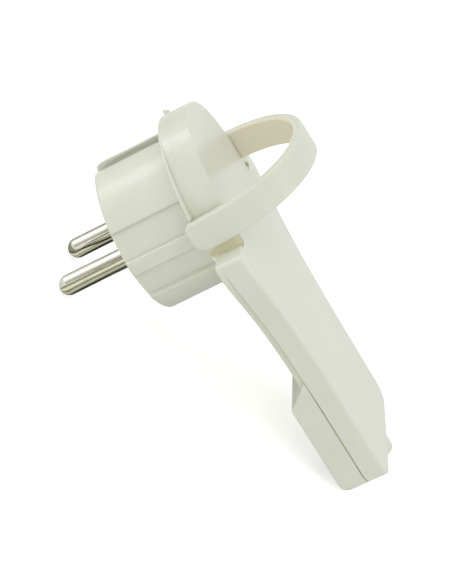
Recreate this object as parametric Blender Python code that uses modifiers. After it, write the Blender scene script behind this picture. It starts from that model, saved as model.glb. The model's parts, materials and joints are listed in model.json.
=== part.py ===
"""Extra-flat earthed plug with a fold-out pull ring, modelled at real size.

The plug is drawn in its own frame: the front of the wall flange is z = 0, the pins point to -Z,
the top of the round head is +Y and the flat cable arm runs along -Y.  An empty then tips that
frame so that the plug rests on its two pin tips and on the far edge of the cable clamp block.
"""
import math

import bmesh
import bpy
from mathutils import Matrix, Vector

MM = 0.001

# Gaps between neighbouring pieces
FIT_GAP = 0.3 * MM
RUNNING_GAP = 0.35 * MM
RING_SIDE_GAP = 0.5 * MM
OVERLAP = 0.5 * MM

# Contact pins
PIN_DIAMETER = 4.8 * MM
PIN_LENGTH = 19.0 * MM
PIN_SPACING = 19.0 * MM
PIN_TO_SIDE = 9.0 * MM
PIN_TIP_FLAT = 0.5 * MM
COLLAR_DIAMETER = 7.2 * MM
COLLAR_THICKNESS = 1.5 * MM
TERMINAL_DIAMETER = 7.8 * MM
TERMINAL_HEIGHT = 7.6 * MM
WIRE_BORE = 3.2 * MM
WIRE_BORE_BELOW_TOP = 4.2 * MM

# Round plug body and wall flange
BODY_DEPTH = 18.4 * MM
BODY_WALL = 2.2 * MM
FRONT_WALL = 3.0 * MM
BODY_EDGE = 1.0 * MM
GUIDE_RIB_WIDTH = 3.8 * MM
GUIDE_SPAN = 17.6 * MM
GUIDE_DEPTH = 1.1 * MM
FLANGE_WIDTH = 3.0 * MM
HEAD_EDGE = 0.5 * MM
FLANGE_LIP = 0.7 * MM
STOP_ANGLE = math.radians(28.0)
STOP_WIDTH = 3.2 * MM
STOP_HEIGHT = 1.6 * MM
STOP_FRONT = 0.1 * MM
STOP_BACK = 0.9 * MM

# Parting line and arm
SEAM_HEIGHT = 2.6 * MM
BACK_HEIGHT = 7.8 * MM
BACK_EDGE = 0.8 * MM
PLATE_FRONT = 1.15 * MM
SHOULDER_TOP = 4.4 * MM
SHOULDER_WIDTH = 6.7 * MM
SHOULDER_CORNER = 1.2 * MM
TAPER_START = 7.0 * MM
TAPER_LENGTH = 17.8 * MM
TAPER_TO_END = 11.2 * MM
TAPER_POWER = 1.5
ARM_HALF = 19.8 * MM
ARM_END = 75.2 * MM
ARM_CORNER = 4.8 * MM
ARM_EDGE = 0.6 * MM
SIDE_WALL = 2.0 * MM
COVER_WALL = 1.6 * MM
CAVITY_TOP = 9.5 * MM
HEAD_WALL = 4.5 * MM

# Cable clamp block at the end of the arm
BLOCK_DEPTH = 3.6 * MM
BLOCK_LENGTH = 27.2 * MM
RAMP_LENGTH = 4.2 * MM
BLOCK_EDGE = 2.5 * MM
BLOCK_FLOOR = 1.8 * MM
EXIT_RADIUS = 4.9 * MM
EXIT_BORE = 7.6 * MM
EXIT_LENGTH = 3.0 * MM

# Pull ring
PIVOT_Y = 1.3 * MM
PIVOT_Z = 4.8 * MM
RING_SIDE_PROUD = 0.6 * MM
RING_END_PROUD = 1.9 * MM
RING_THICKNESS = 2.4 * MM
RING_BAND = 7.4 * MM
RING_EDGE = 0.6 * MM
RING_LEAN = math.radians(2.0)
LUG_TAIL = 6.6 * MM
LUG_ARM_CORNER = 3.2 * MM
LUG_TOP_CORNER = 1.8 * MM
TRUNNION_DIAMETER = 3.5 * MM
TRUNNION_LENGTH = 2.5 * MM
SLOT_STEP = 0.1 * MM

# Earth contacts on the top and the bottom of the body
EARTH_RECESS_WIDTH = 9.0 * MM
EARTH_RECESS_DEPTH = 2.1 * MM
EARTH_RECESS_END = 0.4 * MM
STRIP_WIDTH = 5.0 * MM
STRIP_THICKNESS = 0.8 * MM
STRIP_BOW = 0.35 * MM
STRIP_END = 17.0 * MM
STRIP_BEND = 1.0 * MM
BRIDGE_BACK = 2.0 * MM
EYELET_RADIUS = 5.0 * MM
EYELET_PAD = 0.1 * MM
EARTH_SCREW_TO_SIDE = 9.0 * MM
NUT_SIZE = 6.0 * MM
NUT_THICKNESS = 2.2 * MM
WASHER_RADIUS = 2.9 * MM
WASHER_THICKNESS = 0.6 * MM

# Screws, posts and bosses
SCREW_DIAMETER = 3.0 * MM
SCREW_HEAD_RADIUS = 2.6 * MM
SCREW_HEAD_HEIGHT = 1.7 * MM
SLOT_WIDTH = 0.7 * MM
SLOT_DEPTH = 0.8 * MM
COUNTERBORE_RADIUS = 3.0 * MM
COUNTERBORE_DEPTH = 2.3 * MM
POST_RADIUS = 2.9 * MM
BLOCK_POST_RADIUS = 4.2 * MM
COVER_SCREW_TO_SIDE = 6.2 * MM
COVER_SCREW_TO_END = 8.2 * MM
BOSS_ROOF = 0.6 * MM
CLAMP_TO_END = 18.2 * MM
CLAMP_SCREW_X = 8.5 * MM
CLAMP_POST_RADIUS = 2.7 * MM
CLAMP_BAR_HALF = 11.4 * MM
CLAMP_BAR_WIDTH = 6.4 * MM
CLAMP_BAR_END = 1.4 * MM
CLAMP_BAR_MIDDLE = 3.8 * MM
CLAMP_BAR_ARCH = 2.1 * MM
CLAMP_POST_TOP = 1.6 * MM
RIB_X = 9.0 * MM
RIB_START = 22.0 * MM
RIB_TO_END = 29.2 * MM
RIB_WIDTH = 1.2 * MM
RIB_DEPTH = 1.4 * MM

# Facets
BODY_SIDES = 72
SMALL_SIDES = 20
ARC_STEPS = 6
ELLIPSE_STEPS = 28
ROUND_SHARE = 1.0 - math.sqrt(0.5)
TAPER_STEPS = 15

PART_COLLECTION = "flat_plug_with_pull_ring"
CUTTER_COLLECTION = "cutters_and_guides"

# Sizes and places that follow from those above
REACH = 2 * ARM_END
BODY_RADIUS = PIN_SPACING / 2 + PIN_TO_SIDE
HEAD_RADIUS = BODY_RADIUS + FLANGE_WIDTH
HEAD_CAVITY_RADIUS = HEAD_RADIUS - HEAD_WALL
SHOULDER_HALF = HEAD_RADIUS + SHOULDER_WIDTH
BLOCK_START = ARM_END - BLOCK_LENGTH
RAMP_START = BLOCK_START - RAMP_LENGTH
TAPER_END = ARM_END - TAPER_TO_END
RIB_END = ARM_END - RIB_TO_END
COVER_SCREW_X = ARM_HALF - COVER_SCREW_TO_SIDE
COVER_SCREW_Y = ARM_END - COVER_SCREW_TO_END
CLAMP_Y = ARM_END - CLAMP_TO_END
EARTH_RECESS_FLOOR = BODY_RADIUS - EARTH_RECESS_DEPTH
EARTH_SCREW_Y = BODY_RADIUS - EARTH_SCREW_TO_SIDE
RING_HALF_WIDTH = HEAD_RADIUS + RING_SIDE_PROUD
RING_REACH = HEAD_RADIUS + RING_END_PROUD
SCREW_RADIUS = SCREW_DIAMETER / 2
SCREW_HOLE = SCREW_RADIUS + FIT_GAP
COVER_BASE = SEAM_HEIGHT + FIT_GAP
COVER_ROOF = BACK_HEIGHT - COVER_WALL
FLOOR_INSIDE = -BODY_DEPTH + FRONT_WALL
POST_TOP = SEAM_HEIGHT - FIT_GAP
EXIT_HEIGHT = SEAM_HEIGHT + FIT_GAP / 2
RING_INNER_HALF = RING_HALF_WIDTH - RING_THICKNESS
RING_INNER_REACH = RING_REACH - RING_THICKNESS
RECESS_HALF = RING_INNER_HALF - RING_SIDE_GAP
RECESS_REACH = RING_INNER_REACH - RING_SIDE_GAP
BLOCK_CAVITY_FLOOR = -BLOCK_DEPTH + BLOCK_FLOOR


def clear_scene():
    """Remove every object, mesh and collection of the start scene."""
    for item in list(bpy.data.objects):
        bpy.data.objects.remove(item, do_unlink=True)
    for group in list(bpy.data.collections):
        bpy.data.collections.remove(group)


def make_collection(name):
    group = bpy.data.collections.new(name)
    bpy.context.scene.collection.children.link(group)
    return group


def make_material(name, colour, roughness, metallic=0.0):
    material = bpy.data.materials.new(name)
    material.use_nodes = True
    shader = material.node_tree.nodes["Principled BSDF"]
    shader.inputs["Base Color"].default_value = (*colour, 1.0)
    shader.inputs["Roughness"].default_value = roughness
    shader.inputs["Metallic"].default_value = metallic
    material.diffuse_color = (*colour, 1.0)
    return material


def tilt_to_floor():
    """Angle about X that puts the pin tips and the edge of the clamp block on one level."""
    tip = Vector((0.0, -BODY_DEPTH - PIN_LENGTH + PIN_DIAMETER / 2))
    edge = Vector((-ARM_END + BLOCK_EDGE, -BLOCK_DEPTH + BLOCK_EDGE))
    run = tip - edge
    slope = math.atan2(-run.y, run.x)
    return slope + math.asin((PIN_DIAMETER / 2 - BLOCK_EDGE) / run.length)


def arc(centre, radius, start, end, steps=ARC_STEPS):
    """Points on an arc, in degrees, both ends included."""
    points = []
    for step in range(steps + 1):
        angle = math.radians(start + (end - start) * step / steps)
        points.append((centre[0] + radius * math.cos(angle), centre[1] + radius * math.sin(angle)))
    return points


def half_ellipse(half_width, reach, centre_y, steps=ELLIPSE_STEPS):
    """Points from +X over +Y to -X."""
    points = []
    for step in range(steps + 1):
        angle = math.pi * step / steps
        points.append((half_width * math.cos(angle), centre_y + reach * math.sin(angle)))
    return points


def mirrored(right_side):
    """Close an outline from its right side, which runs from the top to the bottom."""
    left_side = [(-x, y) for x, y in reversed(right_side) if x > 1e-9]
    return right_side + left_side


def arm_half_width(y, inset=0.0):
    """Half the width of the arm, which flares towards the shoulders."""
    share = max(-TAPER_START - y, 0.0) / TAPER_LENGTH
    flare = (SHOULDER_HALF - ARM_HALF) * math.exp(-share ** TAPER_POWER)
    return ARM_HALF + flare - inset


def arm_side(top, inset=0.0):
    """Right side of the arm from the level top down to its end."""
    points = []
    for step in range(TAPER_STEPS + 1):
        y = top + (-TAPER_END - top) * step / TAPER_STEPS
        points.append((arm_half_width(y, inset), y))
    corner = ARM_CORNER - inset
    centre = (ARM_HALF - ARM_CORNER, -ARM_END + ARM_CORNER)
    points += arc(centre, corner, 0, -90)
    return points


def shoulder_side():
    """Right side of the arm with the rounded corner of its shoulder."""
    centre = (SHOULDER_HALF - SHOULDER_CORNER, -SHOULDER_TOP - SHOULDER_CORNER)
    return arc(centre, SHOULDER_CORNER, 90, 0, 4) + arm_side(-TAPER_START)


def cover_outline():
    """Plan of the back cover: the round head and the arm in one outline."""
    meeting = math.degrees(math.asin(-SHOULDER_TOP / HEAD_RADIUS))
    head = arc((0.0, 0.0), HEAD_RADIUS, 90, meeting, BODY_SIDES // 3)
    return mirrored(head + shoulder_side())


def plug_cavity_outline():
    """Inside of the plug body, flat behind the two earth contacts."""
    radius = BODY_RADIUS - BODY_WALL
    flat = EARTH_RECESS_FLOOR - SIDE_WALL
    start = math.degrees(math.asin(flat / radius))
    right = arc((0.0, 0.0), radius, start, -start, BODY_SIDES // 3)
    return mirrored(right)


def ribbon(path, thickness):
    """Outline of a strip of one thickness along a path."""
    left = []
    right = []
    for index, point in enumerate(path):
        before = Vector(path[max(index - 1, 0)])
        after = Vector(path[min(index + 1, len(path) - 1)])
        along = (after - before).normalized()
        side = Vector((-along.y, along.x)) * thickness / 2
        left.append(tuple(Vector(point) + side))
        right.append(tuple(Vector(point) - side))
    return left + right[::-1]


def finish_mesh(bm, name):
    bmesh.ops.recalc_face_normals(bm, faces=bm.faces)
    mesh = bpy.data.meshes.new(name)
    bm.to_mesh(mesh)
    bm.free()
    return mesh


def box_mesh(name, low, high):
    bm = bmesh.new()
    bmesh.ops.create_cube(bm, size=1.0)
    size = Vector(high) - Vector(low)
    middle = (Vector(high) + Vector(low)) / 2
    bmesh.ops.transform(bm, matrix=Matrix.Translation(middle) @ Matrix.Diagonal((*size, 1.0)),
                        verts=bm.verts)
    return finish_mesh(bm, name)


def rod_mesh(name, radius, low, high, sides=SMALL_SIDES, centre=(0.0, 0.0), axis="Z"):
    """Round rod along one axis; the centre is given in the other two, in order."""
    bm = bmesh.new()
    bmesh.ops.create_cone(bm, cap_ends=True, segments=sides, radius1=radius, radius2=radius,
                          depth=high - low)
    middle = (high + low) / 2
    turns = {"X": (Matrix.Rotation(math.pi / 2, 4, "Y"), (middle, centre[0], centre[1])),
             "Y": (Matrix.Rotation(-math.pi / 2, 4, "X"), (centre[0], middle, centre[1])),
             "Z": (Matrix.Identity(4), (centre[0], centre[1], middle))}
    turn, place = turns[axis]
    bmesh.ops.transform(bm, matrix=Matrix.Translation(place) @ turn, verts=bm.verts)
    return finish_mesh(bm, name)


def outline_mesh(name, outlines, low, high, axis="Z"):
    """Flat outlines drawn as a filled curve and given a thickness along one axis.

    Along Z the outline is in (x, y), along Y in (x, z) and along X in (y, z).
    """
    curve = bpy.data.curves.new(name, "CURVE")
    curve.dimensions = "2D"
    curve.fill_mode = "BOTH"
    curve.extrude = (high - low) / 2
    for outline in outlines:
        spline = curve.splines.new("POLY")
        spline.points.add(len(outline) - 1)
        for point, (u, v) in zip(spline.points, outline):
            point.co = (u, v, 0.0, 1.0)
        spline.use_cyclic_u = True
    drawn = bpy.data.objects.new(name, curve)
    bpy.context.scene.collection.objects.link(drawn)
    evaluated = drawn.evaluated_get(bpy.context.evaluated_depsgraph_get())
    mesh = bpy.data.meshes.new_from_object(evaluated)
    bpy.data.objects.remove(drawn, do_unlink=True)
    bm = bmesh.new()
    bm.from_mesh(mesh)
    bmesh.ops.remove_doubles(bm, verts=bm.verts, dist=1e-7)
    middle = (high + low) / 2
    turns = {"X": Matrix(((0, 0, 1, middle), (1, 0, 0, 0), (0, 1, 0, 0), (0, 0, 0, 1))),
             "Y": Matrix(((1, 0, 0, 0), (0, 0, -1, middle), (0, 1, 0, 0), (0, 0, 0, 1))),
             "Z": Matrix.Translation((0, 0, middle))}
    bmesh.ops.transform(bm, matrix=turns[axis], verts=bm.verts)
    return finish_mesh(bm, name)


def lofted_mesh(name, sections):
    """Closed skin over sections that all have the same number of corners."""
    bm = bmesh.new()
    loops = [[bm.verts.new(corner) for corner in section] for section in sections]
    for first, second in zip(loops, loops[1:]):
        for index in range(len(first)):
            after = (index + 1) % len(first)
            bm.faces.new((first[index], first[after], second[after], second[index]))
    bm.faces.new(loops[0])
    bm.faces.new(loops[-1])
    return finish_mesh(bm, name)


def turned_mesh(name, profile, sides):
    """Solid of revolution about Z; the profile runs down its outer side from the axis."""
    bm = bmesh.new()
    corners = [bm.verts.new((radius, 0.0, height)) for radius, height in profile]
    for first, second in zip(corners, corners[1:]):
        bm.edges.new((first, second))
    line = bpy.data.meshes.new(name + "_profile")
    bm.to_mesh(line)
    bm.free()
    holder = bpy.data.objects.new(name + "_profile", line)
    bpy.context.scene.collection.objects.link(holder)
    screw = holder.modifiers.new("turn", "SCREW")
    screw.axis = "Z"
    screw.steps = sides
    screw.render_steps = sides
    screw.use_merge_vertices = True
    screw.merge_threshold = 0.00001
    evaluated = holder.evaluated_get(bpy.context.evaluated_depsgraph_get())
    mesh = bpy.data.meshes.new_from_object(evaluated)
    bpy.data.objects.remove(holder, do_unlink=True)
    mesh.name = name
    return mesh


class Workshop:
    """Keeps the collections, the tilted root and the materials, and links what is made."""

    def __init__(self):
        self.parts = make_collection(PART_COLLECTION)
        self.cutters = make_collection(CUTTER_COLLECTION)
        self.root = bpy.data.objects.new("plug_frame", None)
        self.parts.objects.link(self.root)
        self.ivory = make_material("ivory_plastic", (0.76, 0.77, 0.68), 0.28)
        self.nickel = make_material("nickel_plate", (0.62, 0.60, 0.56), 0.22, 1.0)
        self.brass = make_material("brass", (0.72, 0.55, 0.26), 0.30, 1.0)
        self.steel = make_material("zinc_steel", (0.55, 0.56, 0.58), 0.32, 1.0)

    def piece(self, name, mesh, material, place=(0.0, 0.0, 0.0)):
        """A visible piece, placed in the plug's own frame."""
        item = bpy.data.objects.new(name, mesh)
        item.data.materials.append(material)
        item.location = place
        item.parent = self.root
        self.parts.objects.link(item)
        return item

    def guide(self, name, mesh, owner=None):
        """A shape that is only cut from, or joined to, a piece."""
        item = bpy.data.objects.new(name, mesh)
        item.parent = self.root
        if owner is not None:
            item.location = owner.location
            item.rotation_euler = owner.rotation_euler
        item.hide_render = True
        item.display_type = "WIRE"
        self.cutters.objects.link(item)
        return item

    def combine(self, target, operation, name, mesh, owner=None):
        """Boolean of a target with a new guide shape."""
        tool = self.guide(name, mesh, owner)
        step = target.modifiers.new(name, "BOOLEAN")
        step.operation = operation
        step.solver = "EXACT"
        step.object = tool
        return tool

    def cut(self, target, name, mesh, owner=None):
        return self.combine(target, "DIFFERENCE", name, mesh, owner)

    def join(self, target, name, mesh, owner=None):
        return self.combine(target, "UNION", name, mesh, owner)

    def keep(self, target, name, mesh, owner=None):
        return self.combine(target, "INTERSECT", name, mesh, owner)


def soften(item, width, segments=2, angle=40.0):
    """Round the sharp edges; the flat triangles after it are what later Booleans need."""
    bevel = item.modifiers.new("edges", "BEVEL")
    bevel.width = width
    bevel.segments = segments
    bevel.limit_method = "ANGLE"
    bevel.angle_limit = math.radians(angle)
    bevel.use_clamp_overlap = False
    item.modifiers.new("flat_faces", "TRIANGULATE")


def smooth(item, angle=35.0):
    item.data.shade_smooth()
    item.data.set_sharp_from_angle(angle=math.radians(angle))


def plug_body_profile():
    """Flange, plug body and its rounded front edge, from the seam down."""
    head_corner = (HEAD_RADIUS - HEAD_EDGE, HEAD_EDGE)
    body_corner = (BODY_RADIUS - BODY_EDGE, -BODY_DEPTH + BODY_EDGE)
    profile = [(0.0, SEAM_HEIGHT), (HEAD_RADIUS, SEAM_HEIGHT)]
    profile += arc(head_corner, HEAD_EDGE, 0, -90, 3)
    profile.append((BODY_RADIUS, 0.0))
    profile += arc(body_corner, BODY_EDGE, 0, -90, 4)
    profile.append((0.0, -BODY_DEPTH))
    return profile


def arm_side_profile():
    """Side view of the plate, the ramp and the clamp block, in (y, z)."""
    above = SEAM_HEIGHT + 2 * MM
    edge = (-ARM_END + BLOCK_EDGE, -BLOCK_DEPTH + BLOCK_EDGE)
    points = [(-SHOULDER_TOP + OVERLAP, above), (-SHOULDER_TOP + OVERLAP, PLATE_FRONT)]
    points += [(-RAMP_START, PLATE_FRONT), (-BLOCK_START, -BLOCK_DEPTH)]
    points += arc(edge, BLOCK_EDGE, -90, -180)
    points.append((-ARM_END, above))
    return points


def guide_groove(sign_x, sign_y):
    """Recess beside the guide rib on one side of the plug body."""
    inner = BODY_RADIUS - GUIDE_DEPTH
    first = math.degrees(math.asin(GUIDE_RIB_WIDTH / 2 / BODY_RADIUS))
    last = math.degrees(math.asin(GUIDE_SPAN / 2 / BODY_RADIUS))
    points = arc((0.0, 0.0), inner, first, last)
    points += arc((0.0, 0.0), BODY_RADIUS + OVERLAP, last, first)
    return [(sign_x * x, sign_y * y) for x, y in points]


def ring_recess_outline():
    """What the folded ring needs of the head, outside its floor."""
    floor = half_ellipse(RECESS_HALF, RECESS_REACH, PIVOT_Y)
    return floor + [(-REACH, PIVOT_Y), (-REACH, REACH), (REACH, REACH), (REACH, PIVOT_Y)]


def lug_reach():
    """Greatest distance of the lug's end from the pivot."""
    half = RING_BAND / 2
    top = math.hypot(half - LUG_TOP_CORNER, LUG_TAIL - LUG_TOP_CORNER) + LUG_TOP_CORNER
    arm = math.hypot(half - LUG_ARM_CORNER, LUG_TAIL - LUG_ARM_CORNER) + LUG_ARM_CORNER
    return max(top, arm)


def lug_sweep_outline():
    """Side view of the room in which a lug turns, in (y, z)."""
    radius = lug_reach() + RUNNING_GAP
    front = PIVOT_Y + RING_BAND / 2 + RUNNING_GAP
    points = [(front, -BODY_DEPTH), (front, REACH), (PIVOT_Y, REACH)]
    points += arc((PIVOT_Y, PIVOT_Z), radius, 90, 270, 4 * ARC_STEPS)
    points.append((PIVOT_Y, -BODY_DEPTH))
    return points


def cut_ring_room(shop, shell, tag):
    """Recess of the folded ring and the two slots of its lugs."""
    recess = outline_mesh(tag + "_ring_recess", [ring_recess_outline()], FLANGE_LIP,
                          PIVOT_Z + RING_BAND / 2)
    shop.cut(shell, tag + "_ring_recess", recess)
    inner = RECESS_HALF - SLOT_STEP
    outer = RING_HALF_WIDTH + RING_SIDE_GAP
    for side, low, high in (("left", -outer, -inner), ("right", inner, outer)):
        name = tag + "_lug_slot_" + side
        shop.cut(shell, name, outline_mesh(name, [lug_sweep_outline()], low, high, "X"))


def build_front_shell(shop):
    """Plug body, wall flange, arm plate and clamp block, moulded as one piece."""
    shell = shop.piece("front_shell", turned_mesh("front_shell", plug_body_profile(), BODY_SIDES),
                       shop.ivory)
    plan = outline_mesh("arm_plan", [mirrored(shoulder_side())], -BLOCK_DEPTH - OVERLAP,
                        SEAM_HEIGHT + 2 * MM)
    arm = shop.join(shell, "arm_plan", plan)
    shop.keep(arm, "arm_side_view",
              outline_mesh("arm_side_view", [arm_side_profile()], -REACH, REACH, "X"))
    soften(arm, ARM_EDGE)
    shop.join(shell, "front_exit_collar", exit_collar_mesh("front_exit_collar"))
    trim = box_mesh("front_trim", (-REACH, -REACH, SEAM_HEIGHT), (REACH, REACH, REACH))
    shop.cut(shell, "front_trim", trim)
    shape_plug_outside(shop, shell)
    cut_ring_room(shop, shell, "front")
    add_ring_stops(shop, shell)
    hollow_front_shell(shop, shell)
    drill_front_shell(shop, shell)
    smooth(shell)


def exit_collar_mesh(name):
    return rod_mesh(name, EXIT_RADIUS, -ARM_END - EXIT_LENGTH, -ARM_END + OVERLAP, 32,
                    (0.0, EXIT_HEIGHT), "Y")


def exit_bore_mesh(name):
    return rod_mesh(name, EXIT_BORE / 2, -ARM_END - EXIT_LENGTH - OVERLAP,
                    -ARM_END + SIDE_WALL + OVERLAP, 32, (0.0, EXIT_HEIGHT), "Y")


def shape_plug_outside(shop, shell):
    """Guide grooves at the sides and earth contact recesses at the top and bottom."""
    grooves = [guide_groove(sx, sy) for sx in (-1, 1) for sy in (-1, 1)]
    shop.cut(shell, "guide_grooves",
             outline_mesh("guide_grooves", grooves, -BODY_DEPTH - OVERLAP, -EARTH_RECESS_END))
    half = EARTH_RECESS_WIDTH / 2
    slot_half = STRIP_WIDTH / 2 + FIT_GAP
    for side, sign in (("top", 1), ("bottom", -1)):
        near, far = sorted((sign * EARTH_RECESS_FLOOR, sign * (BODY_RADIUS + OVERLAP)))
        recess = box_mesh("earth_recess_" + side, (-half, near, -BODY_DEPTH - OVERLAP),
                          (half, far, -EARTH_RECESS_END))
        shop.cut(shell, "earth_recess_" + side, recess)
        near, far = sorted((sign * (EARTH_RECESS_FLOOR - SIDE_WALL - OVERLAP), sign * BODY_RADIUS))
        window = box_mesh("earth_window_" + side,
                          (-slot_half, near, -BRIDGE_BACK - STRIP_THICKNESS - FIT_GAP),
                          (slot_half, far, -BRIDGE_BACK + FIT_GAP))
        shop.cut(shell, "earth_window_" + side, window)


def add_ring_stops(shop, shell):
    """Two small stops on the lip, against which the folded ring comes to lie."""
    for side, sign in (("left", 1), ("right", -1)):
        mesh = box_mesh("ring_stop_" + side,
                        (-STOP_WIDTH / 2, HEAD_RADIUS - STOP_HEIGHT, STOP_FRONT),
                        (STOP_WIDTH / 2, HEAD_RADIUS + STOP_HEIGHT, STOP_BACK))
        stop = shop.join(shell, "ring_stop_" + side, mesh)
        stop.rotation_euler = (0.0, 0.0, sign * STOP_ANGLE)


def hollow_front_shell(shop, shell):
    """Room for the contacts and the clamp, with the posts that stand in it."""
    shop.cut(shell, "plug_cavity",
             outline_mesh("plug_cavity", [plug_cavity_outline()], FLOOR_INSIDE, REACH))
    side = arm_side(-BLOCK_START - SIDE_WALL, SIDE_WALL)
    side = [point for point in side if point[1] <= -BLOCK_START - SIDE_WALL]
    side.insert(0, (ARM_HALF - SIDE_WALL, -BLOCK_START - SIDE_WALL))
    shop.cut(shell, "clamp_cavity",
             outline_mesh("clamp_cavity", [mirrored(side)], BLOCK_CAVITY_FLOOR, REACH))
    shop.join(shell, "middle_post",
              rod_mesh("middle_post", POST_RADIUS, FLOOR_INSIDE - OVERLAP, POST_TOP, 32))
    for side, sign in (("left", -1), ("right", 1)):
        low = BLOCK_CAVITY_FLOOR - OVERLAP
        post = rod_mesh("block_post_" + side, BLOCK_POST_RADIUS, low, POST_TOP, 32,
                        (sign * COVER_SCREW_X, -COVER_SCREW_Y))
        shop.join(shell, "block_post_" + side, post)
        saddle = rod_mesh("clamp_post_" + side, CLAMP_POST_RADIUS, low, CLAMP_POST_TOP, 32,
                          (sign * CLAMP_SCREW_X, -CLAMP_Y))
        shop.join(shell, "clamp_post_" + side, saddle)


def drill_front_shell(shop, shell):
    """Pin bores, screw holes, counterbores and the half bore for the cable."""
    for side, sign in (("left", -1), ("right", 1)):
        centre = (sign * PIN_SPACING / 2, 0.0)
        bore = rod_mesh("pin_bore_" + side, PIN_DIAMETER / 2 + FIT_GAP, -BODY_DEPTH - OVERLAP,
                        FLOOR_INSIDE + OVERLAP, 24, centre)
        shop.cut(shell, "pin_bore_" + side, bore)
        place = (sign * COVER_SCREW_X, -COVER_SCREW_Y)
        drill_for_screw(shop, shell, "block_" + side, place, -BLOCK_DEPTH)
        blind = rod_mesh("clamp_hole_" + side, SCREW_HOLE, BLOCK_CAVITY_FLOOR + OVERLAP,
                         SEAM_HEIGHT + OVERLAP, SMALL_SIDES, (sign * CLAMP_SCREW_X, -CLAMP_Y))
        shop.cut(shell, "clamp_hole_" + side, blind)
    drill_for_screw(shop, shell, "middle", (0.0, 0.0), -BODY_DEPTH)
    shop.cut(shell, "front_exit_bore", exit_bore_mesh("front_exit_bore"))


def drill_for_screw(shop, shell, tag, place, face):
    """Counterbore from the outside face and a clearance hole through the post."""
    hole = rod_mesh(tag + "_screw_hole", SCREW_HOLE, face - OVERLAP, SEAM_HEIGHT + OVERLAP,
                    SMALL_SIDES, place)
    shop.cut(shell, tag + "_screw_hole", hole)
    sink = rod_mesh(tag + "_counterbore", COUNTERBORE_RADIUS, face - OVERLAP,
                    face + COUNTERBORE_DEPTH, 28, place)
    shop.cut(shell, tag + "_counterbore", sink)


def trunnion_slot_outline():
    """U-shaped bearing of the ring in the cover, open towards the seam, in (y, z)."""
    radius = TRUNNION_DIAMETER / 2 + FIT_GAP
    points = arc((PIVOT_Y, PIVOT_Z), radius, 0, 180, 2 * ARC_STEPS)
    below = COVER_BASE - OVERLAP
    return points + [(PIVOT_Y - radius, below), (PIVOT_Y + radius, below)]


def build_back_cover(shop):
    """Flat cover of the head and the arm, with bosses, ribs and the ring's bearings."""
    mesh = outline_mesh("back_cover", [cover_outline()], SEAM_HEIGHT - 2 * MM, BACK_HEIGHT)
    cover = shop.piece("back_cover", mesh, shop.ivory)
    soften(cover, BACK_EDGE, 3, 50.0)
    shop.join(cover, "back_exit_collar", exit_collar_mesh("back_exit_collar"))
    trim = box_mesh("back_trim", (-REACH, -REACH, -REACH), (REACH, REACH, COVER_BASE))
    shop.cut(cover, "back_trim", trim)
    cut_ring_room(shop, cover, "back")
    shop.cut(cover, "head_cavity", rod_mesh("head_cavity", HEAD_CAVITY_RADIUS,
                                            COVER_BASE - OVERLAP, COVER_ROOF, 56))
    side = mirrored(arm_side(-CAVITY_TOP, SIDE_WALL))
    shop.cut(cover, "arm_cavity",
             outline_mesh("arm_cavity", [side], COVER_BASE - OVERLAP, COVER_ROOF))
    for side, low, high in (("left", -RECESS_HALF - OVERLAP, -HEAD_CAVITY_RADIUS + SIDE_WALL),
                            ("right", HEAD_CAVITY_RADIUS - SIDE_WALL, RECESS_HALF + OVERLAP)):
        name = "trunnion_slot_" + side
        shop.cut(cover, name, outline_mesh(name, [trunnion_slot_outline()], low, high, "X"))
    add_cover_bosses(shop, cover)
    shop.cut(cover, "back_exit_bore", exit_bore_mesh("back_exit_bore"))
    smooth(cover)


def add_cover_bosses(shop, cover):
    """Screw bosses over the posts and two stiffening ribs under the arm's back."""
    places = [("middle", (0.0, 0.0)),
              ("block_left", (-COVER_SCREW_X, -COVER_SCREW_Y)),
              ("block_right", (COVER_SCREW_X, -COVER_SCREW_Y))]
    for tag, place in places:
        boss = rod_mesh("boss_" + tag, POST_RADIUS, SEAM_HEIGHT, COVER_ROOF + OVERLAP, 32, place)
        shop.join(cover, "boss_" + tag, boss)
        pilot = rod_mesh("boss_hole_" + tag, SCREW_HOLE, SEAM_HEIGHT - OVERLAP,
                         COVER_ROOF - BOSS_ROOF + FIT_GAP, SMALL_SIDES, place)
        shop.cut(cover, "boss_hole_" + tag, pilot)
    for side, sign in (("left", -1), ("right", 1)):
        middle = sign * RIB_X
        rib = box_mesh("arm_rib_" + side,
                       (middle - RIB_WIDTH / 2, -RIB_END, COVER_ROOF - RIB_DEPTH),
                       (middle + RIB_WIDTH / 2, -RIB_START, COVER_ROOF + OVERLAP))
        shop.join(cover, "arm_rib_" + side, rib)


def rounded_corners(corners, radius):
    """Replace each corner of a flat section by three points of a small round."""
    points = []
    for index, corner in enumerate(corners):
        corner = Vector(corner)
        back = (Vector(corners[index - 1]) - corner).normalized() * radius
        ahead = (Vector(corners[(index + 1) % len(corners)]) - corner).normalized() * radius
        points += [corner + back, corner + (back + ahead) * ROUND_SHARE, corner + ahead]
    return points


def ring_section(outward, height, low, high, drop=0.0):
    """Rounded section of the ring's band; outward and height are shares of its ellipses."""
    corners = []
    for y in (low, high):
        corners.append((RING_HALF_WIDTH * outward, y, RING_REACH * height - drop))
    for y in (high, low):
        corners.append((RING_INNER_HALF * outward, y, RING_INNER_REACH * height - drop))
    return rounded_corners(corners, RING_EDGE)


def lug_section(sign, height):
    """The same section below the pivot, drawn in where the lug's end is rounded."""
    above_end = height + LUG_TAIL
    limits = []
    for radius in (LUG_ARM_CORNER, LUG_TOP_CORNER):
        rest = max(radius - above_end, 0.0)
        limits.append(RING_BAND / 2 - radius + math.sqrt(radius ** 2 - rest ** 2))
    return ring_section(sign, 0.0, -limits[0], limits[1], -height)


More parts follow.
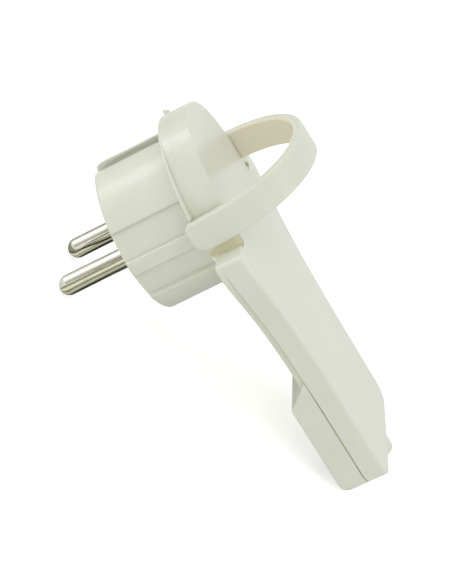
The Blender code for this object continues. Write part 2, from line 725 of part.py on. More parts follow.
def ring_sections():
    """Sections from the end of the right lug over the arch to the end of the left one."""
    heights = []
    for step in range(ARC_STEPS + 1):
        angle = math.pi / 2 * step / ARC_STEPS
        heights.append(-LUG_TAIL + LUG_ARM_CORNER * (1.0 - math.cos(angle)))
    sections = [lug_section(1, height) for height in heights]
    for outward, height in half_ellipse(1.0, 1.0, 0.0):
        sections.append(ring_section(outward, height, -RING_BAND / 2, RING_BAND / 2))
    return sections + [lug_section(-1, height) for height in reversed(heights)]


def build_pull_ring(shop):
    """Fold-out ring with two lugs and stub trunnions; its origin is on the hinge axis."""
    ring = shop.piece("pull_ring", lofted_mesh("pull_ring", ring_sections()), shop.ivory,
                      (0.0, PIVOT_Y, PIVOT_Z))
    ring.rotation_euler = (-RING_LEAN, 0.0, 0.0)
    for side, sign in (("left", -1), ("right", 1)):
        ends = sorted((sign * (RING_INNER_HALF - TRUNNION_LENGTH),
                       sign * (RING_INNER_HALF + OVERLAP)))
        stub = rod_mesh("trunnion_" + side, TRUNNION_DIAMETER / 2, ends[0], ends[1], 24,
                        (0.0, 0.0), "X")
        shop.join(ring, "trunnion_" + side, stub, ring)
    smooth(ring)


def pin_profile():
    """Terminal head, collar, shank and round tip of a contact pin, from the top down."""
    radius = PIN_DIAMETER / 2
    seat = FLOOR_INSIDE + FIT_GAP
    collar_top = seat + COLLAR_THICKNESS
    tip_centre = (0.0, -BODY_DEPTH - PIN_LENGTH + radius)
    top = collar_top + TERMINAL_HEIGHT
    profile = [(0.0, top), (TERMINAL_DIAMETER / 2, top), (TERMINAL_DIAMETER / 2, collar_top)]
    profile += [(COLLAR_DIAMETER / 2, collar_top), (COLLAR_DIAMETER / 2, seat), (radius, seat)]
    profile += arc(tip_centre, radius, 0, -math.degrees(math.acos(PIN_TIP_FLAT / radius)), 6)
    profile.append((0.0, profile[-1][1]))
    return profile


def terminal_top():
    return FLOOR_INSIDE + FIT_GAP + COLLAR_THICKNESS + TERMINAL_HEIGHT


def build_contact_pins(shop):
    """Two turned pins, each with a cross bore for the wire and a hole for its screw."""
    wire_height = terminal_top() - WIRE_BORE_BELOW_TOP
    for side, sign in (("left", -1), ("right", 1)):
        name = "contact_pin_" + side
        pin = shop.piece(name, turned_mesh(name, pin_profile(), 32), shop.nickel,
                         (sign * PIN_SPACING / 2, 0.0, 0.0))
        bore = rod_mesh("wire_bore_" + side, WIRE_BORE / 2, -TERMINAL_DIAMETER, TERMINAL_DIAMETER,
                        SMALL_SIDES, (0.0, wire_height), "Y")
        shop.cut(pin, "wire_bore_" + side, bore, pin)
        hole = rod_mesh("terminal_hole_" + side, SCREW_HOLE, wire_height,
                        terminal_top() + OVERLAP)
        shop.cut(pin, "terminal_hole_" + side, hole, pin)
        smooth(pin)


def screw_profile(length):
    """Slotted pan-head screw: the underside of its head is at height zero."""
    edge = SCREW_HEAD_HEIGHT / 3
    profile = [(0.0, SCREW_HEAD_HEIGHT), (SCREW_HEAD_RADIUS - edge, SCREW_HEAD_HEIGHT)]
    profile += arc((SCREW_HEAD_RADIUS - edge, SCREW_HEAD_HEIGHT - edge), edge, 60, 0, 2)
    profile += [(SCREW_HEAD_RADIUS, 0.0), (SCREW_RADIUS, 0.0), (SCREW_RADIUS, -length + edge)]
    profile += [(SCREW_RADIUS - edge / 2, -length), (0.0, -length)]
    return profile


def build_screw(shop, name, place, length, flipped=False):
    """A screw whose head bears at its place; flipped screws enter from the wall side."""
    screw = shop.piece(name, turned_mesh(name, screw_profile(length), SMALL_SIDES), shop.steel,
                       place)
    if flipped:
        screw.rotation_euler = (math.pi, 0.0, 0.0)
    half = SLOT_WIDTH / 2
    slot = box_mesh(name + "_slot", (-2 * SCREW_HEAD_RADIUS, -half, SCREW_HEAD_HEIGHT - SLOT_DEPTH),
                    (2 * SCREW_HEAD_RADIUS, half, SCREW_HEAD_HEIGHT + OVERLAP))
    shop.cut(screw, name + "_slot", slot, screw)
    smooth(screw)


def build_cover_screws(shop):
    """Three screws that enter from the wall side and hold the cover."""
    tip = COVER_ROOF - BOSS_ROOF
    places = [("cover_screw_middle", 0.0, 0.0, -BODY_DEPTH),
              ("cover_screw_left", -COVER_SCREW_X, -COVER_SCREW_Y, -BLOCK_DEPTH),
              ("cover_screw_right", COVER_SCREW_X, -COVER_SCREW_Y, -BLOCK_DEPTH)]
    for name, x, y, face in places:
        seat = face + COUNTERBORE_DEPTH - FIT_GAP
        build_screw(shop, name, (x, y, seat), tip - seat, flipped=True)


def build_terminal_screws(shop):
    """Wire screws of the two pins and of the earth strip."""
    seat = terminal_top() + FIT_GAP
    for side, sign in (("left", -1), ("right", 1)):
        build_screw(shop, "terminal_screw_" + side, (sign * PIN_SPACING / 2, 0.0, seat),
                    WIRE_BORE_BELOW_TOP)
    washer_base = -BRIDGE_BACK + FIT_GAP
    seat = washer_base + WASHER_THICKNESS + FIT_GAP
    nut_top = -BRIDGE_BACK - STRIP_THICKNESS - FIT_GAP
    build_screw(shop, "earth_screw", (0.0, EARTH_SCREW_Y, seat),
                seat - nut_top + NUT_THICKNESS + OVERLAP)
    ring = [arc((0.0, 0.0), WASHER_RADIUS, 0, 345, 23), arc((0.0, 0.0), SCREW_HOLE, 0, 342, 19)]
    washer = outline_mesh("earth_washer", ring, washer_base, washer_base + WASHER_THICKNESS)
    smooth(shop.piece("earth_washer", washer, shop.brass, (0.0, EARTH_SCREW_Y, 0.0)))
    half = NUT_SIZE / 2
    nut = shop.piece("earth_nut", box_mesh("earth_nut", (-half, -half, nut_top - NUT_THICKNESS),
                                           (half, half, nut_top)),
                     shop.brass, (0.0, EARTH_SCREW_Y, 0.0))
    hole = rod_mesh("earth_nut_hole", SCREW_HOLE, nut_top - NUT_THICKNESS - OVERLAP,
                    nut_top + OVERLAP)
    shop.cut(nut, "earth_nut_hole", hole, nut)


def earth_strip_path():
    """Middle line of the bent earth strip in (y, z): a leg, the bridge and the other leg."""
    leg = EARTH_RECESS_FLOOR + FIT_GAP + STRIP_THICKNESS / 2
    bridge = -BRIDGE_BACK - STRIP_THICKNESS / 2
    corner = bridge - STRIP_BEND
    side = []
    for step in range(ARC_STEPS + 1):
        share = step / ARC_STEPS
        height = -STRIP_END + (corner + STRIP_END) * share
        side.append((leg + STRIP_BOW * math.sin(math.pi * share), height))
    side += arc((leg - STRIP_BEND, corner), STRIP_BEND, 15, 90, 4)
    other = [(-y, z) for y, z in reversed(side)]
    return side + other


def build_earth_bracket(shop):
    """One bent strip: two side contacts joined by a bridge with an eyelet round the post."""
    half = STRIP_WIDTH / 2
    mesh = outline_mesh("earth_bracket", [ribbon(earth_strip_path(), STRIP_THICKNESS)], -half, half,
                        "X")
    bracket = shop.piece("earth_bracket", mesh, shop.nickel)
    low = -BRIDGE_BACK - STRIP_THICKNESS
    eyelet = rod_mesh("earth_eyelet", EYELET_RADIUS, low - EYELET_PAD, -BRIDGE_BACK + EYELET_PAD, 36)
    shop.join(bracket, "earth_eyelet", eyelet)
    post_hole = rod_mesh("earth_post_hole", POST_RADIUS + FIT_GAP, low - OVERLAP,
                         -BRIDGE_BACK + OVERLAP, 32)
    shop.cut(bracket, "earth_post_hole", post_hole)
    screw_hole = rod_mesh("earth_screw_hole", SCREW_HOLE, low - OVERLAP, -BRIDGE_BACK + OVERLAP,
                          SMALL_SIDES, (0.0, EARTH_SCREW_Y))
    shop.cut(bracket, "earth_screw_hole", screw_hole)
    smooth(bracket)


def clamp_bar_outline():
    """Arched clamp bar seen along the cable, in (x, z)."""
    base = CLAMP_POST_TOP + FIT_GAP
    inner = CLAMP_SCREW_X - SCREW_HEAD_RADIUS - FIT_GAP
    right = [(0.0, base + CLAMP_BAR_MIDDLE), (inner - MM, base + CLAMP_BAR_MIDDLE)]
    right += [(inner, base + CLAMP_BAR_END), (CLAMP_BAR_HALF, base + CLAMP_BAR_END)]
    right += [(CLAMP_BAR_HALF, base), (inner, base)]
    for step in range(ARC_STEPS - 1, -1, -1):
        share = step / ARC_STEPS
        right.append((inner * share, base + CLAMP_BAR_ARCH * math.cos(math.pi / 2 * share)))
    return mirrored(right)


def build_cable_clamp(shop):
    """Arched bar over the cable with its two screws."""
    half = CLAMP_BAR_WIDTH / 2
    bar = shop.piece("cable_clamp_bar",
                     outline_mesh("cable_clamp_bar", [clamp_bar_outline()], -half, half, "Y"),
                     shop.ivory, (0.0, -CLAMP_Y, 0.0))
    seat = CLAMP_POST_TOP + CLAMP_BAR_END + 2 * FIT_GAP
    length = seat - BLOCK_CAVITY_FLOOR - OVERLAP - FIT_GAP
    for side, sign in (("left", -1), ("right", 1)):
        hole = rod_mesh("clamp_bar_hole_" + side, SCREW_HOLE, CLAMP_POST_TOP, BACK_HEIGHT,
                        SMALL_SIDES, (sign * CLAMP_SCREW_X, 0.0))
        shop.cut(bar, "clamp_bar_hole_" + side, hole, bar)
        build_screw(shop, "clamp_screw_" + side, (sign * CLAMP_SCREW_X, -CLAMP_Y, seat), length)
    smooth(bar)


def stand_on_floor(shop):
    """Tip the frame onto its three points of rest and put its base on z = 0."""
    shop.root.rotation_euler = (tilt_to_floor(), 0.0, 0.0)
    bpy.context.view_layer.update()
    depsgraph = bpy.context.evaluated_depsgraph_get()
    low = Vector((1.0, 1.0, 1.0))
    high = -low
    for item in shop.parts.objects:
        if item.type != "MESH":
            continue
        evaluated = item.evaluated_get(depsgraph)
        for vertex in evaluated.data.vertices:
            place = evaluated.matrix_world @ vertex.co
            low = Vector(map(min, low, place))
            high = Vector(map(max, high, place))
    shop.root.location = (-(low.x + high.x) / 2, -(low.y + high.y) / 2, -low.z)
    bpy.context.view_layer.update()


def main():
    clear_scene()
    shop = Workshop()
    build_front_shell(shop)
    build_back_cover(shop)
    build_pull_ring(shop)
    build_contact_pins(shop)
    build_earth_bracket(shop)
    build_terminal_screws(shop)
    build_cable_clamp(shop)
    build_cover_screws(shop)
    stand_on_floor(shop)


main()
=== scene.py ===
"""Looks of a flat earthed plug with a fold-out pull ring.

Every piece is drawn in the plug's own millimetres: the front of the wall flange is z = 0, the
pins point to -Z, the top of the round head is +Y and the flat cable arm runs along -Y.
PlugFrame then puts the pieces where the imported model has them.
"""
import json
import logging
import math
from collections.abc import Sequence
from dataclasses import dataclass
from enum import Enum
from typing import Any

import bmesh
import bpy
from mathutils import Matrix, Vector


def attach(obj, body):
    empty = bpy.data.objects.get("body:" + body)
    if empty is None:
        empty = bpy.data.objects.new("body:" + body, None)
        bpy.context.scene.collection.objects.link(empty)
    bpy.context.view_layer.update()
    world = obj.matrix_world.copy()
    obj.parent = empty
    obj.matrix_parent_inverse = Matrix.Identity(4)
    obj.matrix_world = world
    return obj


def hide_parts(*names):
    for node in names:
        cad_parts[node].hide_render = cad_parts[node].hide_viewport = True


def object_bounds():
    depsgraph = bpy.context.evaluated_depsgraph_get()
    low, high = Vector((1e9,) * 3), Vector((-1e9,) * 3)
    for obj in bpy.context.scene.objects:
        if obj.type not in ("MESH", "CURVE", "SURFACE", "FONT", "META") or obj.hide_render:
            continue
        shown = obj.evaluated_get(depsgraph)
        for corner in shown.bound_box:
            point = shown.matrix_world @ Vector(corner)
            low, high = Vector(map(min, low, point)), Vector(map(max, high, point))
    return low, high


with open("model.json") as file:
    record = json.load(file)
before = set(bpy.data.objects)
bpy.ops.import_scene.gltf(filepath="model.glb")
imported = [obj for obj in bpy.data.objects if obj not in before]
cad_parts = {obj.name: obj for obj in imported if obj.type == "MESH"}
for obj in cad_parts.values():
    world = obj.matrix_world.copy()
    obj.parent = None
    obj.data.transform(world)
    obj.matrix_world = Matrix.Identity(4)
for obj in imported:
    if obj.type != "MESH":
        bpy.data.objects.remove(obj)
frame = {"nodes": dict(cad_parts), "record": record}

CAD_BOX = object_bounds()
MM = 0.001
ON_AXIS = 1e-6
LOG = logging.getLogger("flat_plug")

Point = tuple[float, float]
Point3 = tuple[float, float, float]
Outline = list[Point]
Colour = tuple[float, float, float]
Card = tuple[float, float, float]


class Way(Enum):
    """How one shape acts on another."""

    JOIN = "UNION"
    CUT = "DIFFERENCE"
    KEEP = "INTERSECT"


class Axis(Enum):
    """Axis along which a flat outline or a circle is drawn out."""

    X = "X"
    Y = "Y"
    Z = "Z"


class Side(Enum):
    """The two mirrored sides of the plug."""

    LEFT = -1
    RIGHT = 1

    @property
    def word(self) -> str:
        """Name used in piece names."""
        return self.name.lower()


class Body(Enum):
    """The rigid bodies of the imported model."""

    PLUG = "plug"
    RING = "ring"


class Slot(Enum):
    """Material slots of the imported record."""

    IVORY = "ivory_plastic"
    NICKEL = "nickel_plate"
    BRASS = "brass"
    STEEL = "zinc_steel"


# Outlines and plain meshes.


def arc(centre: Point, radius: float, start: float, end: float, steps: int = 12) -> Outline:
    """Points on an arc, both ends included.

    Args:
        centre: Centre of the arc.
        radius: Radius in millimetres.
        start: First angle in degrees.
        end: Last angle in degrees.
        steps: Number of equal steps.

    Returns:
        The points in order.
    """
    turn = (end - start) / steps
    angles = [math.radians(start + turn * step) for step in range(steps + 1)]
    return [(centre[0] + radius * math.cos(a), centre[1] + radius * math.sin(a)) for a in angles]


def disc(radius: float, centre: Point = (0.0, 0.0), sides: int = 64) -> Outline:
    """Circle of straight sides."""
    return arc(centre, radius, 0.0, 360.0, sides)[:-1]


def half_ellipse(half_width: float, reach: float, centre_y: float, steps: int = 96) -> Outline:
    """Points of the upper half of an ellipse, from +X over +Y to -X."""
    angles = [math.pi * step / steps for step in range(steps + 1)]
    return [(half_width * math.cos(a), centre_y + reach * math.sin(a)) for a in angles]


def mirrored(right_side: Outline) -> Outline:
    """Close an outline from its right side, given from the top to the bottom."""
    return right_side + [(-x, y) for x, y in reversed(right_side) if x > ON_AXIS]


def place_on(axis: Axis, u: float, v: float, along: float) -> Point3:
    """Space point for a flat point: (x, y) along Z, (x, z) along Y and (y, z) along X.

    Args:
        axis: Direction across the plane.
        u: First value in the plane.
        v: Second value in the plane.
        along: Place on the axis.

    Returns:
        The point (x, y, z).
    """
    if axis is Axis.X:
        return (along, u, v)
    if axis is Axis.Y:
        return (u, along, v)
    return (u, v, along)


def closed_mesh(name: str, rings: Sequence[Sequence[Point3]]) -> bpy.types.Mesh:
    """Skin over rings of points; a ring of one point is a pole.

    Args:
        name: Name of the mesh.
        rings: Rings in order, all with the same number of points, or with a single one.

    Returns:
        A closed mesh with its normals outwards.
    """
    bm = bmesh.new()
    loops = [[bm.verts.new(point) for point in ring] for ring in rings]
    for first, second in zip(loops, loops[1:]):
        for index in range(max(len(first), len(second))):
            corners = [first[index % len(first)], first[(index + 1) % len(first)],
                       second[(index + 1) % len(second)], second[index % len(second)]]
            bm.faces.new(list(dict.fromkeys(corners)))
    for loop in (loops[0], loops[-1]):
        if len(loop) > 1:
            bm.faces.new(loop)
    bmesh.ops.recalc_face_normals(bm, faces=bm.faces)
    mesh = bpy.data.meshes.new(name)
    bm.to_mesh(mesh)
    bm.free()
    return mesh


def prism(name: str, outline: Outline, low: float, high: float,
          axis: Axis = Axis.Z) -> bpy.types.Mesh:
    """Flat outline with a thickness between two heights along one axis."""
    return closed_mesh(name, [[place_on(axis, u, v, end) for u, v in outline]
                              for end in (low, high)])


def rod(name: str, radius: float, low: float, high: float, centre: Point = (0.0, 0.0),
        axis: Axis = Axis.Z, sides: int = 64) -> bpy.types.Mesh:
    """Round rod between two heights along one axis."""
    return prism(name, disc(radius, centre, sides), low, high, axis)


def across(name: str, outline: Outline, side: Side, inner: float, outer: float) -> bpy.types.Mesh:
    """Outline in (y, z) with a thickness between two distances from the middle of the plug."""
    return prism(name, outline, *sorted((side.value * inner, side.value * outer)), Axis.X)


def block(name: str, low: Point3, high: Point3) -> bpy.types.Mesh:
    """Cuboid between two corners, for cutting."""
    outline = [(low[0], low[1]), (high[0], low[1]), (high[0], high[1]), (low[0], high[1])]
    return prism(name, outline, low[2], high[2])


def turned(name: str, profile: Outline, sides: int = 96) -> bpy.types.Mesh:
    """Solid of revolution about Z.

    Args:
        name: Name of the mesh.
        profile: Points (radius, height), from the axis along the outer side to the axis.
        sides: Number of steps round the axis.

    Returns:
        The mesh of the turned piece.
    """
    return closed_mesh(name, [[(0.0, 0.0, height)] if radius < ON_AXIS else
                              [(x, y, height) for x, y in disc(radius, sides=sides)]
                              for radius, height in profile])


def without_slivers(mesh: bpy.types.Mesh, reach: float = 0.004) -> None:
    """Merge the points that Boolean steps left closer together than reach, in millimetres.

    Args:
        mesh: Mesh in the plug's millimetres.
        reach: Largest distance that is closed.
    """
    shape = bmesh.new()
    shape.from_mesh(mesh)
    bmesh.ops.remove_doubles(shape, verts=shape.verts, dist=reach)
    bmesh.ops.dissolve_degenerate(shape, dist=reach, edges=shape.edges)
    shape.to_mesh(mesh)
    shape.free()


def placed(name: str, data: bpy.types.ID) -> bpy.types.Object:
    """New object in the scene.

    Args:
        name: Name of the object.
        data: Its mesh, lamp or camera.

    Returns:
        The object.
    """
    item = bpy.data.objects.new(name, data)
    bpy.context.scene.collection.objects.link(item)
    return item


class Blank:
    """A closed shape that is cut, joined and softened, and then made into one piece."""

    def __init__(self, name: str, mesh: bpy.types.Mesh) -> None:
        """Start from a mesh in the plug's millimetres."""
        self.item = placed(name, mesh)
        self.helpers: list[bpy.types.Object] = []

    def combine(self, way: Way, shape: "Blank | bpy.types.Mesh") -> None:
        """Add an exact Boolean step.

        Args:
            way: Whether the other shape is joined, cut off or kept.
            shape: The other shape, which may have steps of its own.
        """
        other = shape if isinstance(shape, Blank) else Blank(shape.name, shape)
        self.helpers += [other.item, *other.helpers]
        step = self.item.modifiers.new(other.item.name, "BOOLEAN")
        step.operation = way.value
        step.solver = "EXACT"
        step.object = other.item

    def cut(self, *shapes: "Blank | bpy.types.Mesh") -> None:
        """Cut shapes off, one after the other."""
        for shape in shapes:
            self.combine(Way.CUT, shape)

    def join(self, *shapes: "Blank | bpy.types.Mesh") -> None:
        """Join shapes on, one after the other."""
        for shape in shapes:
            self.combine(Way.JOIN, shape)

    def soften(self, width: float, segments: int = 4, angle: float = 40.0) -> None:
        """Round the edges that are sharp at this step.

        Args:
            width: Distance from the edge at which the rounding starts.
            segments: Number of strips in the rounding.
            angle: Edges that turn by more than this many degrees are rounded.
        """
        bevel = self.item.modifiers.new("edges", "BEVEL")
        bevel.width = width
        bevel.segments = segments
        bevel.limit_method = "ANGLE"
        bevel.angle_limit = math.radians(angle)
        bevel.use_clamp_overlap = False
        self.item.modifiers.new("flat_faces", "TRIANGULATE")

    def made(self, name: str, place: Matrix, sharp: float = 32.0) -> bpy.types.Object:
        """Apply all the steps and return the finished piece.

        Args:
            name: Name of the piece.
            place: Matrix from the plug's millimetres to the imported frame.
            sharp: Edges that turn by more than this many degrees stay sharp.

        Returns:
            The piece, at the origin, with its place in its mesh.
        """
        evaluated = self.item.evaluated_get(bpy.context.evaluated_depsgraph_get())
        mesh = bpy.data.meshes.new_from_object(evaluated)
        mesh.name = name
        without_slivers(mesh)
        mesh.transform(place)
        mesh.shade_smooth()
        mesh.set_sharp_from_angle(angle=math.radians(sharp))
        for helper in [self.item, *self.helpers]:
            bpy.data.objects.remove(helper, do_unlink=True)
        piece = placed(name, mesh)
        even = piece.modifiers.new("even_shading", "WEIGHTED_NORMAL")
        even.keep_sharp = True
        return piece


# Shader sheet.


class Wire:
    """Output of a shader node, with arithmetic that adds Math nodes."""

    def __init__(self, sheet: "NodeSheet", socket: bpy.types.NodeSocket) -> None:
        """Wrap one output socket of a sheet."""
        self.sheet = sheet
        self.socket = socket

    def _math(self, operation: str, first: Any, second: Any = 0.0) -> "Wire":
        """Math node with two inputs."""
        return self.sheet.node("ShaderNodeMath", {"operation": operation}, {0: first, 1: second})

    def __add__(self, other: Any) -> "Wire":
        """Sum."""
        return self._math("ADD", self, other)

    def __radd__(self, other: Any) -> "Wire":
        """Sum with the number first."""
        return self._math("ADD", other, self)

    def __sub__(self, other: Any) -> "Wire":
        """Difference."""
        return self._math("SUBTRACT", self, other)

    def __rsub__(self, other: Any) -> "Wire":
        """Difference with the number first."""
        return self._math("SUBTRACT", other, self)

    def __mul__(self, other: Any) -> "Wire":
        """Product."""
        return self._math("MULTIPLY", self, other)

    def __truediv__(self, other: Any) -> "Wire":
        """Quotient."""
        return self._math("DIVIDE", self, other)

    def __abs__(self) -> "Wire":
        """Distance from zero."""
        return self._math("ABSOLUTE", self)

    def larger(self, other: Any) -> "Wire":
        """The larger of two values."""
        return self._math("MAXIMUM", self, other)

    def between(self, low: float, high: float) -> "Wire":
        """Smooth step from 0 at low to 1 at high."""
        return self.sheet.node("ShaderNodeMapRange", {"interpolation_type": "SMOOTHSTEP"},
                               {"Value": self, "From Min": low, "From Max": high})


class NodeSheet:
    """Node tree of a material or of the world, read and written through wires."""

    def __init__(self, tree: bpy.types.NodeTree) -> None:
        """Take over a tree."""
        self.tree = tree

    def node(self, kind: str, settings: dict[str, Any] | None = None,
             sockets: dict[str | int, Any] | None = None, output: str | int = 0) -> Wire:
        """Add a node.

        Args:
            kind: Type of the node.
            settings: Attributes that are set first.
            sockets: Values or links of the inputs, by name or number.
            output: Output that is returned.

        Returns:
            The output as a Wire.
        """
        made = self.tree.nodes.new(kind)
        for key, value in (settings or {}).items():
            setattr(made, key, value)
        for key, value in (sockets or {}).items():
            self.feed(made.inputs[key], value)
        return Wire(self, made.outputs[output])

    def feed(self, socket: bpy.types.NodeSocket, value: Any) -> None:
        """Link a Wire to an input, or set its value.

        Args:
            socket: The input.
            value: A Wire, a number, a vector or a colour.
        """
        if isinstance(value, Wire):
            self.tree.links.new(value.socket, socket)
        elif isinstance(value, tuple) and len(value) == 3 and socket.type == "RGBA":
            socket.default_value = (*value, 1.0)
        else:
            socket.default_value = value

    def mix(self, factor: Any, first: Any, second: Any) -> Wire:
        """Colour between two colours or wires, by the share of the second one."""
        return self.node("ShaderNodeMix", {"data_type": "RGBA"},
                         {0: factor, 6: first, 7: second}, 2)

    def ray(self, kind: str) -> Wire:
        """1 for rays of one kind and 0 for the others."""
        return self.node("ShaderNodeLightPath", output=kind)

    def part_of(self, vector: Wire, axis: Axis) -> Wire:
        """One component of a vector."""
        return self.node("ShaderNodeSeparateXYZ", None, {0: vector}, axis.value)

    def stretched(self, vector: Wire, scale: Point3) -> Wire:
        """Vector with each component scaled."""
        return self.node("ShaderNodeVectorMath", {"operation": "MULTIPLY"}, {0: vector, 1: scale})

    def noise(self, vector: Wire, scale: float, detail: float = 2.0,
              roughness: float = 0.5) -> Wire:
        """Noise with a mean of about one half.

        Args:
            vector: Place in millimetres.
            scale: Features per millimetre.
            detail: Number of finer layers.
            roughness: Strength of the finer layers.

        Returns:
            The noise value.
        """
        return self.node("ShaderNodeTexNoise", None,
                         {"Vector": vector, "Scale": scale, "Detail": detail,
                          "Roughness": roughness}, "Fac")

    def speckles(self, vector: Wire, scale: float, size: float) -> Wire:
        """Small round marks, one in each cell of a Voronoi pattern.

        Args:
            vector: Place in millimetres.
            scale: Cells per millimetre.
            size: Radius of a mark, as a share of a cell.

        Returns:
            1 on a mark and 0 beside it.
        """
        distance = self.node("ShaderNodeTexVoronoi", None, {"Vector": vector, "Scale": scale},
                             "Distance")
        return 1.0 - distance.between(size * 0.5, size)

    def bump(self, height: Wire, strength: float, distance: float) -> Wire:
        """Normal from a height between 0 and 1 that stands for a distance in metres."""
        return self.node("ShaderNodeBump", None,
                         {"Height": height, "Strength": strength, "Distance": distance}, "Normal")


class ShaderSheet(NodeSheet):
    """Nodes of one material with a Principled shader."""

    def __init__(self, name: str) -> None:
        """Make the material and its shader.

        Args:
            name: Name of the material.
        """
        self.material = bpy.data.materials.new(name)
        self.material.use_nodes = True
        super().__init__(self.material.node_tree)
        self.tree.nodes.clear()
        self.shader = self.tree.nodes.new("ShaderNodeBsdfPrincipled")
        self.output = self.tree.nodes.new("ShaderNodeOutputMaterial")
        self.show(self.plain)

    @property
    def plain(self) -> Wire:
        """What the Principled shader gives."""
        return Wire(self, self.shader.outputs[0])

    def show(self, surface: Wire) -> None:
        """Connect what the material shows."""
        self.feed(self.output.inputs["Surface"], surface)

    def plug_place(self, plug: "PlugFrame") -> Wire:
        """Place on the piece in the plug's own millimetres.

        Args:
            plug: Frame that the place is turned back to.

        Returns:
            The place, as a vector.
        """
        place = self.node("ShaderNodeTexCoord", output="Object")
        moved = self.node("ShaderNodeVectorMath", {"operation": "SUBTRACT"},
                          {0: place, 1: tuple(plug.shift)})
        turned_back = self.node("ShaderNodeVectorRotate", {"rotation_type": "X_AXIS"},
                                {"Vector": moved, "Angle": -plug.tilt})
        return self.node("ShaderNodeVectorMath", {"operation": "SCALE"},
                         {0: turned_back, "Scale": 1.0 / MM})

    def finish(self, varied: dict[str, Wire], fixed: dict[str, Any]) -> bpy.types.Material:
        """Connect the shader.

        Args:
            varied: What changes over the surface, by socket name.
            fixed: What is the same all over, by socket name.

        Returns:
            The material.
        """
        for key, value in (*varied.items(), *fixed.items()):
            self.feed(self.shader.inputs[key], value)
        return self.material


# Finishes.


@dataclass(frozen=True)
class Band:
    """Range along one axis with soft ends, in millimetres."""

    start: float
    full: float
    fade: float
    end: float

    def share(self, place: Wire) -> Wire:
        """1 inside the range and 0 outside it."""
        return place.between(self.start, self.full) * (1.0 - place.between(self.fade, self.end))


@dataclass(frozen=True)
class IvoryPlastic:
    """Glossy injection-moulded ivory plastic with faint flow marks and a polish that varies.

    Painted shade makes the seam between the shells browner, and painted light makes the walls
    of the lug slots and the ring's inner side lighter and warmer, for light through thin plastic.
    """

    name: str = "ivory_moulded_plastic"
    light: Colour = (0.745, 0.767, 0.660)
    deep: Colour = (0.715, 0.737, 0.620)
    dust_tint: Colour = (0.50, 0.47, 0.38)
    dust_share: float = 0.10
    # Painted shade of the seam between the shells: browner, and darker on the clamp block.
    seam_tint: Colour = (0.50, 0.46, 0.26)
    seam_dark: Colour = (0.36, 0.31, 0.12)
    seam_share: float = 0.6
    seam_middle: float = 2.7
    seam_half: float = 0.1
    seam_fade: float = 0.22
    seam_top: float = -6.0
    seam_run: float = 3.0
    seam_block: float = -44.0
    block_run: float = 4.0
    block_gain: float = 0.25
    # Painted light on the ring's inner side: lighter and warmer, for light through the band.
    inner_tint: Colour = (0.87, 0.81, 0.67)
    inner_share: float = 0.0
    inner_rim: Point = (1.02, 1.09)
    # Painted light on the walls of the lug slots: lighter and warmer, for light through the thin
    # walls.
    slot_tint: Colour = (0.93, 0.89, 0.68)
    slot_share: float = 0.9
    slot_aside: Band = Band(18.7, 18.9, 21.7, 22.0)
    slot_up: Band = Band(-7.0, -6.5, 1.0, 2.0)
    slot_back: Band = Band(-2.4, -2.2, 7.4, 7.6)
    gloss: float = 0.30
    haze: float = 0.12
    cloud_scale: float = 0.07
    flow_stretch: Point3 = (0.22, 0.05, 0.22)
    grain_scale: float = 5.5
    dust_scale: float = 0.16
    dust_size: float = 0.035
    tone_range: Point = (0.3, 0.7)
    grain_gloss: float = 0.05
    seam_gloss: float = 0.3
    relief: float = 0.16
    relief_height: float = 0.00006

    def material(self, plug: "PlugFrame", sizes: "PlugSizes") -> bpy.types.Material:
        """Build the material in the plug's own millimetres.

        Args:
            plug: Frame that gives the place on the surface.
            sizes: Sizes of the ring.

        Returns:
            The material.
        """
        sheet = ShaderSheet(self.name)
        place = sheet.plug_place(plug)
        clouds = sheet.noise(place, self.cloud_scale, 3.0)
        flow = sheet.noise(sheet.stretched(place, self.flow_stretch), 1.0, 4.0, 0.6)
        grain = sheet.noise(place, self.grain_scale, 3.0, 0.65)
        dust = sheet.speckles(place, self.dust_scale, self.dust_size)
        x, y, z = (sheet.part_of(place, axis) for axis in Axis)
        # Painted shade: a browner band along the seam between the shells, stronger on the clamp
        # block.
        on_block = (self.seam_block - y).between(0.0, self.block_run)
        seam = 1.0 - abs(z - self.seam_middle).between(self.seam_half, self.seam_fade)
        seam = seam * (self.seam_top - y).between(0.0, self.seam_run)
        seam = seam * (1.0 + on_block * self.block_gain) * self.seam_share
        in_slot = self.slot_aside.share(abs(x)) * self.slot_up.share(y) * self.slot_back.share(z)
        tone = clouds * 0.6 + flow * 0.4
        colour = sheet.mix(tone.between(*self.tone_range), self.deep, self.light)
        # Painted shade: the seam's brown over the plastic's tone.
        colour = sheet.mix(seam, colour, sheet.mix(on_block, self.seam_tint, self.seam_dark))
        # Painted light: the ring's inner side lighter and warmer, for light through the band.
        colour = sheet.mix(self.inner_side(x, z, sizes), colour, self.inner_tint)
        # Painted light: the lug slots' walls lighter and warmer, for light through the thin walls.
        colour = sheet.mix(in_slot * self.slot_share, colour, self.slot_tint)
        colour = sheet.mix(dust * self.dust_share, colour, self.dust_tint)
        rough = (self.gloss + clouds * self.haze + grain * self.grain_gloss
                 + seam * self.seam_gloss)
        relief = sheet.bump(flow * 0.5 + grain * 0.35 + clouds * 0.6, self.relief,
                            self.relief_height)
        return sheet.finish(
            {"Base Color": colour, "Roughness": rough, "Normal": relief},
            {"IOR": 1.5, "Specular IOR Level": 0.4, "Subsurface Weight": 0.20,
             "Subsurface Radius": (1.0, 0.80, 0.45), "Subsurface Scale": 0.0008,
             "Coat Weight": 0.28, "Coat Roughness": 0.14, "Coat IOR": 1.5})

    def inner_side(self, x: Wire, z: Wire, sizes: "PlugSizes") -> Wire:
        """Share of the painted light, a lighter and warmer colour, on the inner side of the ring.

        Args:
            x: Place across the plug.
            z: Place along the pins.
            sizes: Sizes of the ring.

        Returns:
            The share, which is 0 outside the ring.
        """
        aside = x / sizes.ring_inner[0]
        rise = (z - sizes.pivot[1]) / sizes.ring_inner[1]
        spread = aside * aside + rise * rise
        return (1.0 - spread.between(*self.inner_rim)) * self.inner_share


